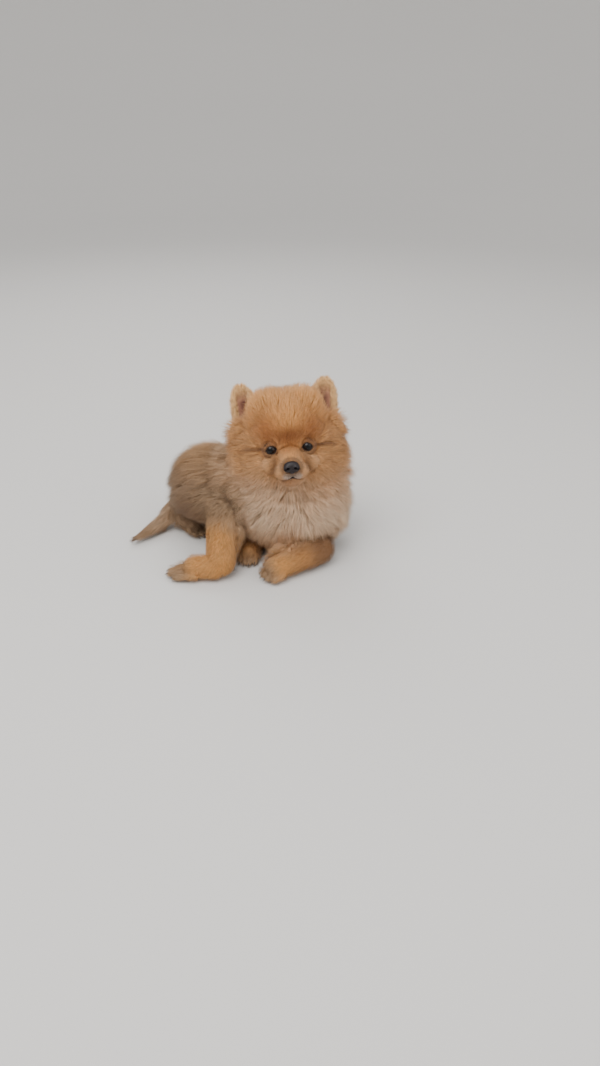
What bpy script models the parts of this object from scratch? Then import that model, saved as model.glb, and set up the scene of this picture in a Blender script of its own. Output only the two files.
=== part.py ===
"""A Pomeranian puppy lying on the floor, life size, as a museum's still model.

It faces -Y with +Z up. The origin is on the floor under the belly, where the trunk rests.
The trunk, neck and head are built as one form out of rounded masses. Each mass is given twice: its flesh,
and the outline of the coat over it. The core lies between the two, and thin cuts part it into nodes.
The long coat is flat locks that are rooted in the core, bend along their lie and end at the coat's outline.
"""

import math
import random

import bmesh
import bpy
from mathutils import Euler, Matrix, Vector

# Driving dimensions, in metres
GAP = 0.0003
COAT_SHARE = 0.5
BODY_VOXEL = 0.0016
LIMB_VOXEL = 0.0011
FINE_VOXEL = 0.0006

# Where the head sits, and how it is turned
HEAD_CENTRE = Vector((0.0536, -0.0450, 0.1390))
HEAD_PITCH = math.radians(-15.0)
HEAD_ROLL = math.radians(-4.0)
HEAD_YAW = math.radians(4.5)
HEAD_TURN = Euler((HEAD_PITCH, HEAD_ROLL, HEAD_YAW)).to_matrix().to_4x4()
HEAD = Matrix.Translation(HEAD_CENTRE) @ HEAD_TURN

# The face, in the head's own frame: +X is the dog's left, -Y is where it looks
EYE_PLACE = Vector((0.0184, -0.0203, -0.0012))
EYE_RADIUS = 0.0066
LID_WIDTH = 0.0060
LID_HEIGHT = 0.0050
LID_THICKNESS = 0.0011
NOSE_PLACE = Vector((0.0, -0.0436, -0.0168))
MOUTH_LINE = (
    (-0.0150, -0.0200, -0.0302),
    (-0.0125, -0.0290, -0.0304),
    (-0.0080, -0.0370, -0.0302),
    (-0.0040, -0.0410, -0.0293),
    (0.0, -0.0420, -0.0281),
    (0.0040, -0.0410, -0.0293),
    (0.0080, -0.0370, -0.0302),
    (0.0125, -0.0290, -0.0304),
    (0.0150, -0.0200, -0.0302),
)
MOUTH_HEART = Vector((0.0, -0.0200, -0.0285))
MOUTH_DEPTH = 0.0030
MOUTH_GAPE = 0.0008

# The ears, in the head's own frame, for the dog's left. The right one mirrors it
EAR_ROOT = Vector((0.0385, 0.0110, 0.0195))
EAR_TIP = Vector((0.0445, 0.0210, 0.0610))
EAR_HALF_WIDTH = 0.0128
EAR_CUP = 0.0085
EAR_THICKNESS = 0.0028

# The masses: (flesh centre, flesh radii, coat centre, coat radii)
TRUNK_MASSES = (
    ((0.052, -0.014, 0.056), (0.038, 0.036, 0.048), (0.0545, -0.018, 0.058), (0.0640, 0.061, 0.062)),
    ((0.080, -0.014, 0.050), (0.018, 0.024, 0.034), (0.081, -0.014, 0.054), (0.0420, 0.046, 0.056)),
    ((0.024, -0.016, 0.052), (0.020, 0.024, 0.034), (0.020, -0.014, 0.058), (0.042, 0.046, 0.050)),
    ((0.020, 0.010, 0.052), (0.040, 0.032, 0.038), (0.018, 0.008, 0.058), (0.058, 0.052, 0.056)),
    ((-0.010, 0.020, 0.048), (0.034, 0.030, 0.036), (-0.010, 0.018, 0.054), (0.050, 0.047, 0.055)),
    ((-0.036, 0.026, 0.056), (0.031, 0.030, 0.030), (-0.036, 0.026, 0.061), (0.050, 0.045, 0.045)),
    ((-0.034, 0.004, 0.050), (0.028, 0.018, 0.020), (-0.036, 0.000, 0.053), (0.043, 0.029, 0.029)),
    ((-0.018, 0.040, 0.026), (0.030, 0.020, 0.024), (-0.018, 0.042, 0.030), (0.043, 0.034, 0.034)),
    ((0.000, 0.004, 0.022), (0.036, 0.026, 0.024), (0.000, 0.004, 0.022), (0.042, 0.032, 0.024)),
)
NECK_MASSES = (
    ((0.053, -0.010, 0.092), (0.034, 0.032, 0.034), (0.0545, -0.014, 0.094), (0.0700, 0.062, 0.052)),
    ((0.054, -0.022, 0.116), (0.030, 0.027, 0.026), (0.0540, -0.018, 0.114), (0.0735, 0.058, 0.044)),
)
HEAD_MASSES = (
    ((0.0, 0.004, 0.008), (0.031, 0.033, 0.028), (0.0, 0.010, 0.016), (0.046, 0.039, 0.042)),
    ((0.014, 0.006, 0.015), (0.018, 0.022, 0.018), (0.017, 0.010, 0.027), (0.030, 0.032, 0.034)),
    ((-0.014, 0.006, 0.015), (0.018, 0.022, 0.018), (-0.017, 0.010, 0.027), (0.030, 0.032, 0.034)),
    ((0.0, -0.012, 0.009), (0.022, 0.013, 0.015), (0.0, -0.009, 0.014), (0.032, 0.019, 0.027)),
    ((0.020, 0.006, -0.004), (0.016, 0.020, 0.018), (0.037, 0.019, 0.000), (0.030, 0.032, 0.034)),
    ((-0.020, 0.006, -0.004), (0.016, 0.020, 0.018), (-0.037, 0.019, 0.000), (0.030, 0.032, 0.034)),
    ((0.017, 0.000, -0.014), (0.017, 0.017, 0.014), (0.031, 0.013, -0.018), (0.040, 0.030, 0.027)),
    ((-0.017, 0.000, -0.014), (0.017, 0.017, 0.014), (-0.031, 0.013, -0.018), (0.040, 0.030, 0.027)),
    ((0.011, -0.016, -0.013), (0.011, 0.011, 0.010), (0.0135, -0.0150, -0.0145), (0.0145, 0.0130, 0.0125)),
    ((-0.011, -0.016, -0.013), (0.011, 0.011, 0.010), (-0.0135, -0.0150, -0.0145), (0.0145, 0.0130, 0.0125)),
    ((0.0060, -0.0355, -0.0218), (0.0080, 0.0084, 0.0070), (0.0066, -0.0350, -0.0219), (0.0095, 0.0094, 0.0080)),
    ((-0.0060, -0.0355, -0.0218), (0.0080, 0.0084, 0.0070), (-0.0066, -0.0350, -0.0219), (0.0095, 0.0094, 0.0080)),
    ((0.0, -0.0280, -0.0310), (0.0085, 0.0105, 0.0052), (0.0, -0.0280, -0.0318), (0.0102, 0.0118, 0.0062)),
    ((0.036, 0.010, 0.018), (0.014, 0.008, 0.012), (0.040, 0.013, 0.016), (0.017, 0.012, 0.014)),
    ((-0.036, 0.010, 0.018), (0.014, 0.008, 0.012), (-0.040, 0.013, 0.016), (0.017, 0.012, 0.014)),
)
MUZZLE = (((0.0, -0.0170, -0.0085), 0.0132), ((0.0, -0.0280, -0.0140), 0.0118), ((0.0, -0.0370, -0.0175), 0.0090))

# Limbs, as (point, radius) with their short coat
FORELEG_RIGHT = (
    ((-0.016, -0.036, 0.054), 0.0185), ((-0.0185, -0.060, 0.037), 0.0195), ((-0.0200, -0.0835, 0.0185), 0.0182),
)
HAND_RIGHT = (
    ((-0.0200, -0.0835, 0.0180), 0.0178), ((-0.0270, -0.0890, 0.0140), 0.0150), ((-0.0470, -0.0875, 0.0125), 0.0146),
)
FORELEG_LEFT = (
    ((0.087, -0.057, 0.0188), 0.0188), ((0.073, -0.068, 0.0182), 0.0184), ((0.058, -0.0775, 0.0175), 0.0176),
)
HAND_LEFT = (((0.058, -0.0775, 0.0172), 0.0172), ((0.0415, -0.0880, 0.0135), 0.0155))
FOOT_RIGHT = (((-0.070, 0.030, 0.034), 0.0125), ((-0.074, 0.017, 0.015), 0.0110), ((-0.061, 0.008, 0.010), 0.0105))
FOOT_LEFT = (((0.013, -0.028, 0.013), 0.0120), ((0.009, -0.053, 0.0105), 0.0112))
TAIL = (
    ((-0.070, 0.046, 0.032), 0.0110), ((-0.085, 0.033, 0.020), 0.0105), ((-0.097, 0.016, 0.012), 0.0090),
    ((-0.113, -0.005, 0.0085), 0.0062), ((-0.129, -0.021, 0.005), 0.0014),
)

CLAW_LENGTH = 0.0060

# The cuts that part the whole, as (point, normal) with the normal towards the piece that comes off
HEAD_CUT = ((0.0524, -0.070, 0.1010), (0.0, -0.174, 0.985))
NECK_CUT = ((0.052, -0.015, 0.088), (0.35, -0.25, 0.90))
THIGH_RIGHT_CELL = ((-0.055, -0.030, 0.030), (0.088, 0.064, 0.084))
THIGH_LEFT_CELL = ((-0.020, 0.085, 0.015), (0.104, 0.064, 0.094))
WRIST_RIGHT_CUT = ((-0.031, -0.087, 0.015), (-0.97, -0.10, -0.20))
WRIST_LEFT_CUT = ((0.051, -0.082, 0.014), (-0.84, -0.53, -0.10))

# The long coat. Each region: (spacing of the locks, length, half width, thickness)
COAT = {
    "head": (0.0150, 0.025, 0.0070, 0.0030),
    "neck": (0.0160, 0.032, 0.0080, 0.0032),
    "torso": (0.0178, 0.034, 0.0088, 0.0034),
    "hindleg_right": (0.0160, 0.028, 0.0070, 0.0032),
    "hindleg_left": (0.0180, 0.027, 0.0080, 0.0032),
    "tail": (0.0165, 0.024, 0.0042, 0.0022),
}
ROOT_DEPTH = 0.0035
TIP_SHARE = 0.14
TAIL_REACH = 0.0026
LOCK_WIDTHS = (0.60, 1.0, 0.74, TIP_SHARE)
LOCK_THICKNESSES = (1.0, 1.0, 0.72, 0.30)
SAG = 0.10
LOCK_LOWEST = 0.0022
LIMB_CLEAR = 0.0030
CUT_CLEAR = 0.0030
MOST_BEND = 0.0090
LOCK_APART = 0.0055
EAR_CLEAR = 0.0150
ROOT_CLEAR = 0.0025
LEAST_REACH = 0.0040
MOST_REACH = 0.0180
UNDERSIDE = -0.75
TRIES = 2600
SEED = 7

# The lie of the coat: (place, direction) guides, and a hair lies along the nearest of them
LIE = (
    ((0.056, -0.088, 0.142), (0.0, 0.90, 0.35)),
    ((0.0545, -0.072, 0.152), (0.0, 0.45, 0.90)),
    ((0.065, -0.085, 0.134), (0.45, 0.80, -0.15)),
    ((0.047, -0.086, 0.133), (-0.45, 0.80, -0.15)),
    ((0.056, -0.086, 0.119), (0.0, 0.60, -0.80)),
    ((0.072, -0.070, 0.133), (0.75, 0.50, -0.35)),
    ((0.038, -0.072, 0.131), (-0.75, 0.50, -0.35)),
    ((0.036, -0.064, 0.158), (-0.55, 0.50, 0.65)),
    ((0.074, -0.062, 0.160), (0.55, 0.50, 0.65)),
    ((0.054, -0.064, 0.168), (0.0, 0.60, 0.80)),
    ((0.052, -0.045, 0.188), (0.0, 0.70, 0.70)),
    ((0.025, -0.035, 0.185), (-0.30, 0.70, 0.60)),
    ((0.080, -0.033, 0.188), (0.30, 0.70, 0.60)),
    ((0.052, -0.015, 0.193), (0.0, 0.95, 0.25)),
    ((0.052, 0.005, 0.175), (0.0, 0.75, -0.66)),
    ((0.052, 0.025, 0.150), (0.0, 0.45, -0.88)),
    ((0.018, -0.056, 0.129), (-0.90, 0.40, -0.20)),
    ((-0.004, -0.035, 0.130), (-0.88, 0.40, -0.30)),
    ((0.090, -0.052, 0.131), (0.90, 0.40, -0.20)),
    ((0.110, -0.030, 0.133), (0.86, 0.42, -0.35)),
    ((-0.006, -0.020, 0.155), (-0.70, 0.60, -0.40)),
    ((0.113, -0.015, 0.158), (0.70, 0.60, -0.40)),
    ((0.056, -0.075, 0.100), (0.0, 0.05, -1.00)),
    ((0.025, -0.068, 0.095), (-0.80, 0.25, -0.50)),
    ((0.088, -0.065, 0.096), (0.80, 0.25, -0.50)),
    ((-0.010, -0.030, 0.100), (-0.86, 0.35, -0.40)),
    ((0.120, -0.020, 0.100), (0.75, 0.35, -0.55)),
    ((0.053, 0.042, 0.110), (0.0, 0.55, -0.85)),
    ((0.056, -0.080, 0.072), (0.05, -0.05, -1.00)),
    ((0.030, -0.070, 0.064), (-0.70, 0.10, -0.70)),
    ((0.085, -0.065, 0.066), (0.65, 0.10, -0.75)),
    ((0.010, -0.060, 0.052), (-0.75, 0.20, -0.60)),
    ((0.105, -0.048, 0.060), (0.55, 0.25, -0.80)),
    ((0.056, -0.070, 0.030), (0.0, -0.30, -0.95)),
    ((-0.006, -0.043, 0.070), (-0.80, 0.15, -0.55)),
    ((-0.030, -0.022, 0.065), (-0.95, 0.15, -0.35)),
    ((0.116, 0.000, 0.055), (0.25, 0.55, -0.80)),
    ((0.060, 0.045, 0.060), (-0.40, 0.40, -0.80)),
    ((-0.010, 0.060, 0.060), (-0.80, 0.20, -0.60)),
    ((0.000, 0.015, 0.108), (-0.95, 0.20, -0.10)),
    ((-0.040, 0.020, 0.105), (-1.00, 0.10, -0.20)),
    ((-0.070, -0.005, 0.055), (-0.78, 0.45, -0.42)),
    ((-0.080, 0.030, 0.060), (-0.55, 0.30, -0.80)),
    ((-0.050, -0.022, 0.040), (-0.88, 0.10, -0.40)),
    ((-0.040, 0.070, 0.040), (-0.75, 0.20, -0.65)),
    ((-0.080, 0.040, 0.030), (-0.50, -0.60, -0.50)),
)

# Finishes: (colour, roughness)
FINISHES = {
    "coat_orange": ((0.60, 0.33, 0.14, 1.0), 0.9),
    "coat_cream": ((0.66, 0.47, 0.32, 1.0), 0.9),
    "coat_sable": ((0.45, 0.29, 0.17, 1.0), 0.9),
    "ear_skin": ((0.55, 0.33, 0.24, 1.0), 0.7),
    "eye": ((0.02, 0.012, 0.010, 1.0), 0.06),
    "nose_leather": ((0.03, 0.022, 0.022, 1.0), 0.35),
}


def clear_scene():
    """Removes whatever the start-up file holds."""
    for held in list(bpy.data.objects):
        bpy.data.objects.remove(held)


def collection(name):
    """A new collection in the scene."""
    made = bpy.data.collections.new(name)
    bpy.context.scene.collection.children.link(made)
    return made


def finish(name):
    """The material of a finish, made the first time it is asked for."""
    if name in bpy.data.materials:
        return bpy.data.materials[name]
    colour, roughness = FINISHES[name]
    made = bpy.data.materials.new(name)
    made.use_nodes = True
    shader = made.node_tree.nodes["Principled BSDF"]
    shader.inputs["Base Color"].default_value = colour
    shader.inputs["Roughness"].default_value = roughness
    shader.inputs["Metallic"].default_value = 0.0
    return made


def mesh_object(name, shape, home):
    """An object that holds a bmesh, put in a collection."""
    mesh = bpy.data.meshes.new(name)
    shape.to_mesh(mesh)
    shape.free()
    made = bpy.data.objects.new(name, mesh)
    home.objects.link(made)
    return made


def evaluated(obj):
    """The mesh of an object with its modifiers applied."""
    bpy.context.view_layer.update()
    graph = bpy.context.evaluated_depsgraph_get()
    return bpy.data.meshes.new_from_object(obj.evaluated_get(graph))


def settle(obj):
    """Applies an object's modifiers to its own mesh."""
    mesh = evaluated(obj)
    obj.modifiers.clear()
    obj.data = mesh
    return obj


def discard(*helpers):
    """Removes helper objects."""
    for helper in helpers:
        bpy.data.objects.remove(helper)


def helper(obj):
    """Marks an object as a cutter, which is no node."""
    obj.hide_render = True
    obj.display_type = "WIRE"
    return obj


def triangles_in(mesh):
    """How many triangles a mesh's faces come to."""
    return sum(len(face.vertices) - 2 for face in mesh.polygons)


def add_ball(shape, where, radii, frame=None, segments=24, rings=16):
    """Adds an ellipsoid to a bmesh."""
    place = Matrix.Translation(Vector(where)) @ Matrix.Diagonal((*radii, 1.0))
    if frame is not None:
        place = frame @ place
    bmesh.ops.create_uvsphere(shape, u_segments=segments, v_segments=rings, radius=1.0, matrix=place)


def add_limb(shape, stations, frame=None, segments=20, grow=0.0):
    """Adds a round limb through stations of (point, radius): a ball at each and a cone between two."""
    for (start, thick), (end, thin) in zip(stations, stations[1:]):
        start, end = Vector(start), Vector(end)
        along = end - start
        turn = along.to_track_quat("Z", "Y").to_matrix().to_4x4()
        place = Matrix.Translation((start + end) / 2) @ turn
        if frame is not None:
            place = frame @ place
        bmesh.ops.create_cone(
            shape, cap_ends=True, segments=segments, radius1=thick + grow, radius2=thin + grow,
            depth=along.length, matrix=place,
        )
    for point, radius in stations:
        add_ball(shape, point, (radius + grow,) * 3, frame=frame, segments=segments, rings=segments // 2 + 1)


def fuse(obj, voxel, smoothing, triangles):
    """Fuses the overlapping forms of an object into one smooth closed skin of about so many triangles."""
    remesh = obj.modifiers.new("Fuse", "REMESH")
    remesh.mode = "VOXEL"
    remesh.voxel_size = voxel
    smooth = obj.modifiers.new("Smooth", "SMOOTH")
    smooth.factor = 0.5
    smooth.iterations = smoothing
    settle(obj)
    thin = obj.modifiers.new("Thin", "DECIMATE")
    thin.ratio = min(1.0, triangles / triangles_in(obj.data))
    return settle(obj)


def boolean(obj, other, operation):
    """Joins, cuts or trims an object by another mesh object, or by a collection of them."""
    step = obj.modifiers.new(operation.title(), "BOOLEAN")
    step.operation = operation
    step.solver = "MANIFOLD"
    if isinstance(other, bpy.types.Collection):
        step.operand_type = "COLLECTION"
        step.collection = other
    else:
        step.object = other
    return settle(obj)


def duplicate(obj, name, home):
    """A copy of an object with a mesh of its own."""
    made = bpy.data.objects.new(name, obj.data.copy())
    home.objects.link(made)
    return made


def half_space(name, cut, clear, home):
    """A big block that fills the side of a cut that its normal points to, kept clear of the cut's plane."""
    point, normal = Vector(cut[0]), Vector(cut[1]).normalized()
    depth, width = 0.5, 0.8
    shape = bmesh.new()
    turn = normal.to_track_quat("Z", "Y").to_matrix().to_4x4()
    place = Matrix.Translation(point + normal * (depth / 2 + clear)) @ turn
    bmesh.ops.create_cube(shape, size=1.0, matrix=place @ Matrix.Diagonal((width, width, depth, 1.0)))
    return helper(mesh_object(name, shape, home))


def cell(name, box, grow, home):
    """A block that holds one limb's share of the whole."""
    centre, size = box
    shape = bmesh.new()
    size = [s + 2 * grow for s in size]
    bmesh.ops.create_cube(shape, size=1.0, matrix=Matrix.Translation(centre) @ Matrix.Diagonal((*size, 1.0)))
    return helper(mesh_object(name, shape, home))


def largest_body(obj):
    """Keeps the largest closed surface of an object and drops loose scraps."""
    shape = bmesh.new()
    shape.from_mesh(obj.data)
    left = set(shape.verts)
    groups = []
    while left:
        start = left.pop()
        group, edge = {start}, [start]
        while edge:
            for link in edge.pop().link_edges:
                for other in link.verts:
                    if other in left:
                        left.discard(other)
                        group.add(other)
                        edge.append(other)
        groups.append(group)
    groups.sort(key=len)
    for group in groups[:-1]:
        bmesh.ops.delete(shape, geom=list(group), context="VERTS")
    shape.to_mesh(obj.data)
    shape.free()
    if groups[:-1]:
        print(f"{obj.name}: dropped scraps of {[len(g) for g in groups[:-1]]} points")
    return obj


def part_by_plane(whole, cut, name, body, aside):
    """Takes the piece on one side of a cut off the whole, with a gap between the two."""
    piece = duplicate(whole, name, body)
    other_side = (cut[0], tuple(-n for n in cut[1]))
    piece_trim = half_space("piece_trim", other_side, -GAP / 2, aside)
    whole_trim = half_space("whole_trim", cut, -GAP / 2, aside)
    boolean(piece, piece_trim, "DIFFERENCE")
    boolean(whole, whole_trim, "DIFFERENCE")
    discard(piece_trim, whole_trim)
    largest_body(whole)
    return largest_body(piece)


def part_by_cell(whole, box, name, body, aside):
    """Takes the piece inside a block off the whole, with a gap between the two."""
    piece = duplicate(whole, name, body)
    inside = cell("inside", box, -GAP / 2, aside)
    outside = cell("outside", box, GAP / 2, aside)
    boolean(piece, inside, "INTERSECT")
    boolean(whole, outside, "DIFFERENCE")
    discard(inside, outside)
    largest_body(whole)
    return largest_body(piece)


def trim_to_floor(obj, aside):
    """Cuts an object off level with the floor, which leaves the small flats that it rests on."""
    floor = half_space("floor", ((0, 0, 0), (0, 0, -1)), 0.0, aside)
    boolean(obj, floor, "DIFFERENCE")
    discard(floor)
    return largest_body(obj)


def grown(obj, home):
    """A copy of an object that stands the gap proud of it all round, to cut its bed in a neighbour."""
    made = duplicate(obj, "grown", home)
    shape = bmesh.new()
    shape.from_mesh(made.data)
    shape.normal_update()
    moves = [spot.normal * (GAP * 1.25) for spot in shape.verts]
    for spot, move in zip(shape.verts, moves):
        spot.co += move
    shape.to_mesh(made.data)
    shape.free()
    return helper(made)


def clear_of(obj, neighbour, aside):
    """Cuts an object back so that it stands the gap clear of its neighbour."""
    bed = grown(neighbour, aside)
    boolean(obj, bed, "DIFFERENCE")
    discard(bed)
    return largest_body(obj)


def between(flesh, outline):
    """The size that lies the coat's share of the way from the flesh to the coat's outline."""
    return Vector(flesh).lerp(Vector(outline), COAT_SHARE)


def whole_form(body):
    """The trunk, neck and head as one smooth form, still whole."""
    shape = bmesh.new()
    for masses, frame in ((TRUNK_MASSES + NECK_MASSES, None), (HEAD_MASSES, HEAD)):
        for flesh_centre, flesh_radii, coat_centre, coat_radii in masses:
            add_ball(shape, between(flesh_centre, coat_centre), between(flesh_radii, coat_radii), frame=frame)
    add_limb(shape, MUZZLE, frame=HEAD)
    return fuse(mesh_object("torso", shape, body), BODY_VOXEL, 8, 2600)


def tube(name, points, radius, home, closed=False, frame=None, sides=2):
    """A round cord of mesh along points, with its caps welded."""
    curve = bpy.data.curves.new(name, "CURVE")
    curve.dimensions = "3D"
    curve.bevel_depth = radius
    curve.bevel_resolution = sides
    curve.use_fill_caps = True
    spline = curve.splines.new("POLY")
    spline.points.add(len(points) - 1)
    spline.use_cyclic_u = closed
    for spot, point in zip(spline.points, points):
        place = Vector(point) if frame is None else frame @ Vector(point)
        spot.co = (*place, 1.0)
    line = bpy.data.objects.new(name + "_line", curve)
    home.objects.link(line)
    mesh = evaluated(line)
    discard(line)
    shape = bmesh.new()
    shape.from_mesh(mesh)
    bmesh.ops.remove_doubles(shape, verts=shape.verts, dist=1e-6)
    bmesh.ops.recalc_face_normals(shape, faces=shape.faces)
    return mesh_object(name, shape, home)


def lid_ring(side):
    """The rim of one eye's lids: an almond that leans down towards the nose."""
    points = []
    steps = 18
    for step in range(steps):
        turn = 2 * math.pi * step / steps
        across = LID_WIDTH * math.cos(turn)
        pinch = 1.0 - 0.25 * math.cos(turn) ** 4
        up = LID_HEIGHT * math.sin(turn) * pinch
        off_axis = math.hypot(across, up)
        front = EYE_PLACE.y - math.sqrt(max(0.0, EYE_RADIUS**2 - off_axis**2)) * 0.98
        points.append((side * (EYE_PLACE.x + across), front, EYE_PLACE.z + up))
    return points


def mouth_cutter(home):
    """The thin curved slab that cuts the line of the mouth round the front of the muzzle."""
    shape = bmesh.new()
    rows = []
    for point in MOUTH_LINE:
        spot = Vector(point)
        out = spot - MOUTH_HEART
        out.z = 0.0
        out.normalize()
        corners = ((0.005, 0.5), (0.005, -0.5), (-MOUTH_DEPTH, -0.5), (-MOUTH_DEPTH, 0.5))
        rows.append([
            shape.verts.new(HEAD @ (spot + out * far + Vector((0, 0, MOUTH_GAPE * side)))) for far, side in corners
        ])
    for row, after in zip(rows, rows[1:]):
        for here in range(4):
            there = (here + 1) % 4
            shape.faces.new((row[here], row[there], after[there], after[here]))
    shape.faces.new(list(reversed(rows[0])))
    shape.faces.new(rows[-1])
    bmesh.ops.recalc_face_normals(shape, faces=shape.faces)
    return mesh_object("groove", shape, home)


def dress_head(head, body, aside):
    """Adds the lids and cuts the eye sockets, the mouth's line and the bed of the nose."""
    rims = collection("rims")
    for side in (1, -1):
        tube("lid", lid_ring(side), LID_THICKNESS, rims, closed=True, frame=HEAD, sides=1)
    boolean(head, rims, "UNION")
    discard(*list(rims.objects))
    groove = helper(mouth_cutter(aside))
    boolean(head, groove, "DIFFERENCE")
    discard(groove)
    for side, name in ((1, "left"), (-1, "right")):
        place = (side * EYE_PLACE.x, EYE_PLACE.y, EYE_PLACE.z)
        for grow, label, home in ((GAP, "socket", aside), (0.0, "eye_" + name, body)):
            shape = bmesh.new()
            add_ball(shape, place, (EYE_RADIUS + grow,) * 3, frame=HEAD, segments=12, rings=7)
            ball = mesh_object(label, shape, home)
            if grow:
                boolean(head, helper(ball), "DIFFERENCE")
                discard(ball)
            else:
                ball.data.materials.append(finish("eye"))
    return largest_body(head)


def nose_form(name, grow, home):
    """The nose leather: a broad top, two wings and the strip between the nostrils."""
    shape = bmesh.new()
    for where, radii in (
        ((0.0, 0.0, 0.0005), (0.0078, 0.0046, 0.0054)),
        ((0.0040, -0.0006, -0.0008), (0.0042, 0.0046, 0.0046)),
        ((-0.0040, -0.0006, -0.0008), (0.0042, 0.0046, 0.0046)),
        ((0.0, -0.0004, -0.0036), (0.0034, 0.0040, 0.0034)),
    ):
        add_ball(shape, NOSE_PLACE + Vector(where), [r + grow for r in radii], frame=HEAD)
    return fuse(mesh_object(name, shape, home), FINE_VOXEL, 3, 240)


def nose(head, body, aside):
    """The nose leather with its nostrils, set in the head."""
    bed = helper(nose_form("bed", GAP, aside))
    boolean(head, bed, "DIFFERENCE")
    discard(bed)
    leather = nose_form("nose", 0.0, body)
    for side in (1, -1):
        shape = bmesh.new()
        bore = NOSE_PLACE + Vector((side * 0.0036, -0.0046, -0.0010))
        add_ball(shape, bore, (0.0017, 0.0026, 0.0013), frame=HEAD, segments=8, rings=5)
        wing_slit = NOSE_PLACE + Vector((side * 0.0060, -0.0030, -0.0020))
        add_ball(shape, wing_slit, (0.0020, 0.0022, 0.0006), frame=HEAD, segments=8, rings=5)
        nostril = helper(mesh_object("nostril", shape, aside))
        boolean(leather, nostril, "DIFFERENCE")
        discard(nostril)
    leather.data.materials.append(finish("nose_leather"))
    return largest_body(leather)


def ear_form(name, side, home):
    """One ear: an open cup with a rounded tip, thickened to the ear's leather and its short coat."""
    rows, columns = 7, 6
    shape = bmesh.new()
    bmesh.ops.create_grid(shape, x_segments=columns, y_segments=rows, size=1.0)
    axis = EAR_TIP - EAR_ROOT
    for spot in shape.verts:
        across, up = spot.co.x, (spot.co.y + 1) / 2
        half_width = EAR_HALF_WIDTH * (0.90 + 0.35 * up - 0.25 * up**2) * (1 - up**3) ** 0.6 + 0.0016
        curl = EAR_CUP * (1 - 0.65 * up)
        outward = half_width * across
        forward = -curl * across * across + curl * 0.4
        centre = EAR_ROOT + axis * up
        spot.co = centre + Vector((outward, forward, -0.25 * outward * (1 - up)))
        spot.co.x *= side
    if side < 0:
        bmesh.ops.reverse_faces(shape, faces=shape.faces)
    shape.transform(HEAD)
    made = mesh_object(name, shape, home)
    shell = made.modifiers.new("Leather", "SOLIDIFY")
    shell.thickness = EAR_THICKNESS
    shell.offset = 0.0
    return settle(made)


def ears(head, body, aside):
    """Both ears, each with its root in the head."""
    for side, name in ((1, "ear_left"), (-1, "ear_right")):
        ear = ear_form(name, side, body)
        clear_of(head, ear, aside)
        ear.data.materials.append(finish("ear_skin"))
    return largest_body(head)


def add_toes(shape, wrist, knuckles, reach, width, rise):
    """Adds four toes, the middle two longer, in front of a paw's last station."""
    along = (Vector(knuckles) - Vector(wrist))
    along.z = 0.0
    along.normalize()
    across = along.cross(Vector((0, 0, 1)))
    claws = []
    for order in (-1.5, -0.5, 0.5, 1.5):
        length = reach * (1.0 if abs(order) < 1 else 0.72)
        root = Vector(knuckles) + across * (order * width)
        tip = root + along * length
        thick = width * 0.76
        root.z, tip.z = rise, thick * 0.98
        add_limb(shape, ((root, thick), (tip, thick * 0.94)), segments=12)
        claws.append((tip + along * thick * 0.62 + Vector((0, 0, thick * 0.05)), along, thick))
    return claws


def paw(name, stations, reach, width, rise, cut, voxel, triangles, body, aside, upper=None):
    """A paw with toes and claws. With a cut it is parted from the limb above, which is then also made."""
    shape = bmesh.new()
    add_limb(shape, stations)
    claws = add_toes(shape, stations[-2][0], stations[-1][0], reach, width, rise)
    if upper:
        add_limb(shape, upper[1])
    foot = fuse(mesh_object(name, shape, body), voxel, 3, triangles)
    nails = collection("nails")
    for tip, along, thick in claws:
        shape = bmesh.new()
        turn = (along + Vector((0, 0, -0.45))).to_track_quat("Z", "Y").to_matrix().to_4x4()
        place = Matrix.Translation(tip + along * 0.0012) @ turn
        bmesh.ops.create_cone(
            shape, cap_ends=True, segments=6, radius1=0.0012, radius2=0.0003, depth=CLAW_LENGTH, matrix=place,
        )
        mesh_object("nail", shape, nails)
    boolean(foot, nails, "UNION")
    discard(*list(nails.objects))
    trim_to_floor(foot, aside)
    foot.data.materials.append(finish("coat_orange"))
    if not upper:
        return [foot]
    limb = duplicate(foot, upper[0], body)
    for piece, plane in ((limb, cut), (foot, (cut[0], tuple(-n for n in cut[1])))):
        trim = half_space("trim", plane, -GAP / 2, aside)
        boolean(piece, trim, "DIFFERENCE")
        discard(trim)
        largest_body(piece)
    return [foot, limb]


def lie_at(place, normal):
    """The way the coat lies at a place: the near guides, blended, along the surface."""
    blend = Vector()
    for spot, direction in LIE:
        blend += Vector(direction).normalized() / ((Vector(spot) - place).length ** 4 + 1e-9)
    blend.normalize()
    blend -= normal * blend.dot(normal)
    return blend.normalized()


def coat_masses():
    """Centre, inverse radii and frame of each mass of the coat's outline."""
    for masses, frame in ((TRUNK_MASSES + NECK_MASSES, Matrix.Identity(4)), (HEAD_MASSES, HEAD)):
        for _, _, centre, radii in masses:
            yield Vector(centre), Vector([1.0 / r for r in radii]), frame.inverted()


def reach_to_outline(place, normal, masses):
    """How far the coat's outline stands off a place on the core, along its normal."""
    furthest = 0.0
    for centre, shrink, inward in masses:
        start = (inward @ place - centre) * shrink
        step = (inward.to_3x3() @ normal) * shrink
        a, b, c = step.dot(step), 2 * start.dot(step), start.dot(start) - 1.0
        inner = b * b - 4 * a * c
        if inner > 0:
            furthest = max(furthest, (-b + math.sqrt(inner)) / (2 * a))
    return min(max(furthest, LEAST_REACH), MOST_REACH)


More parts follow.
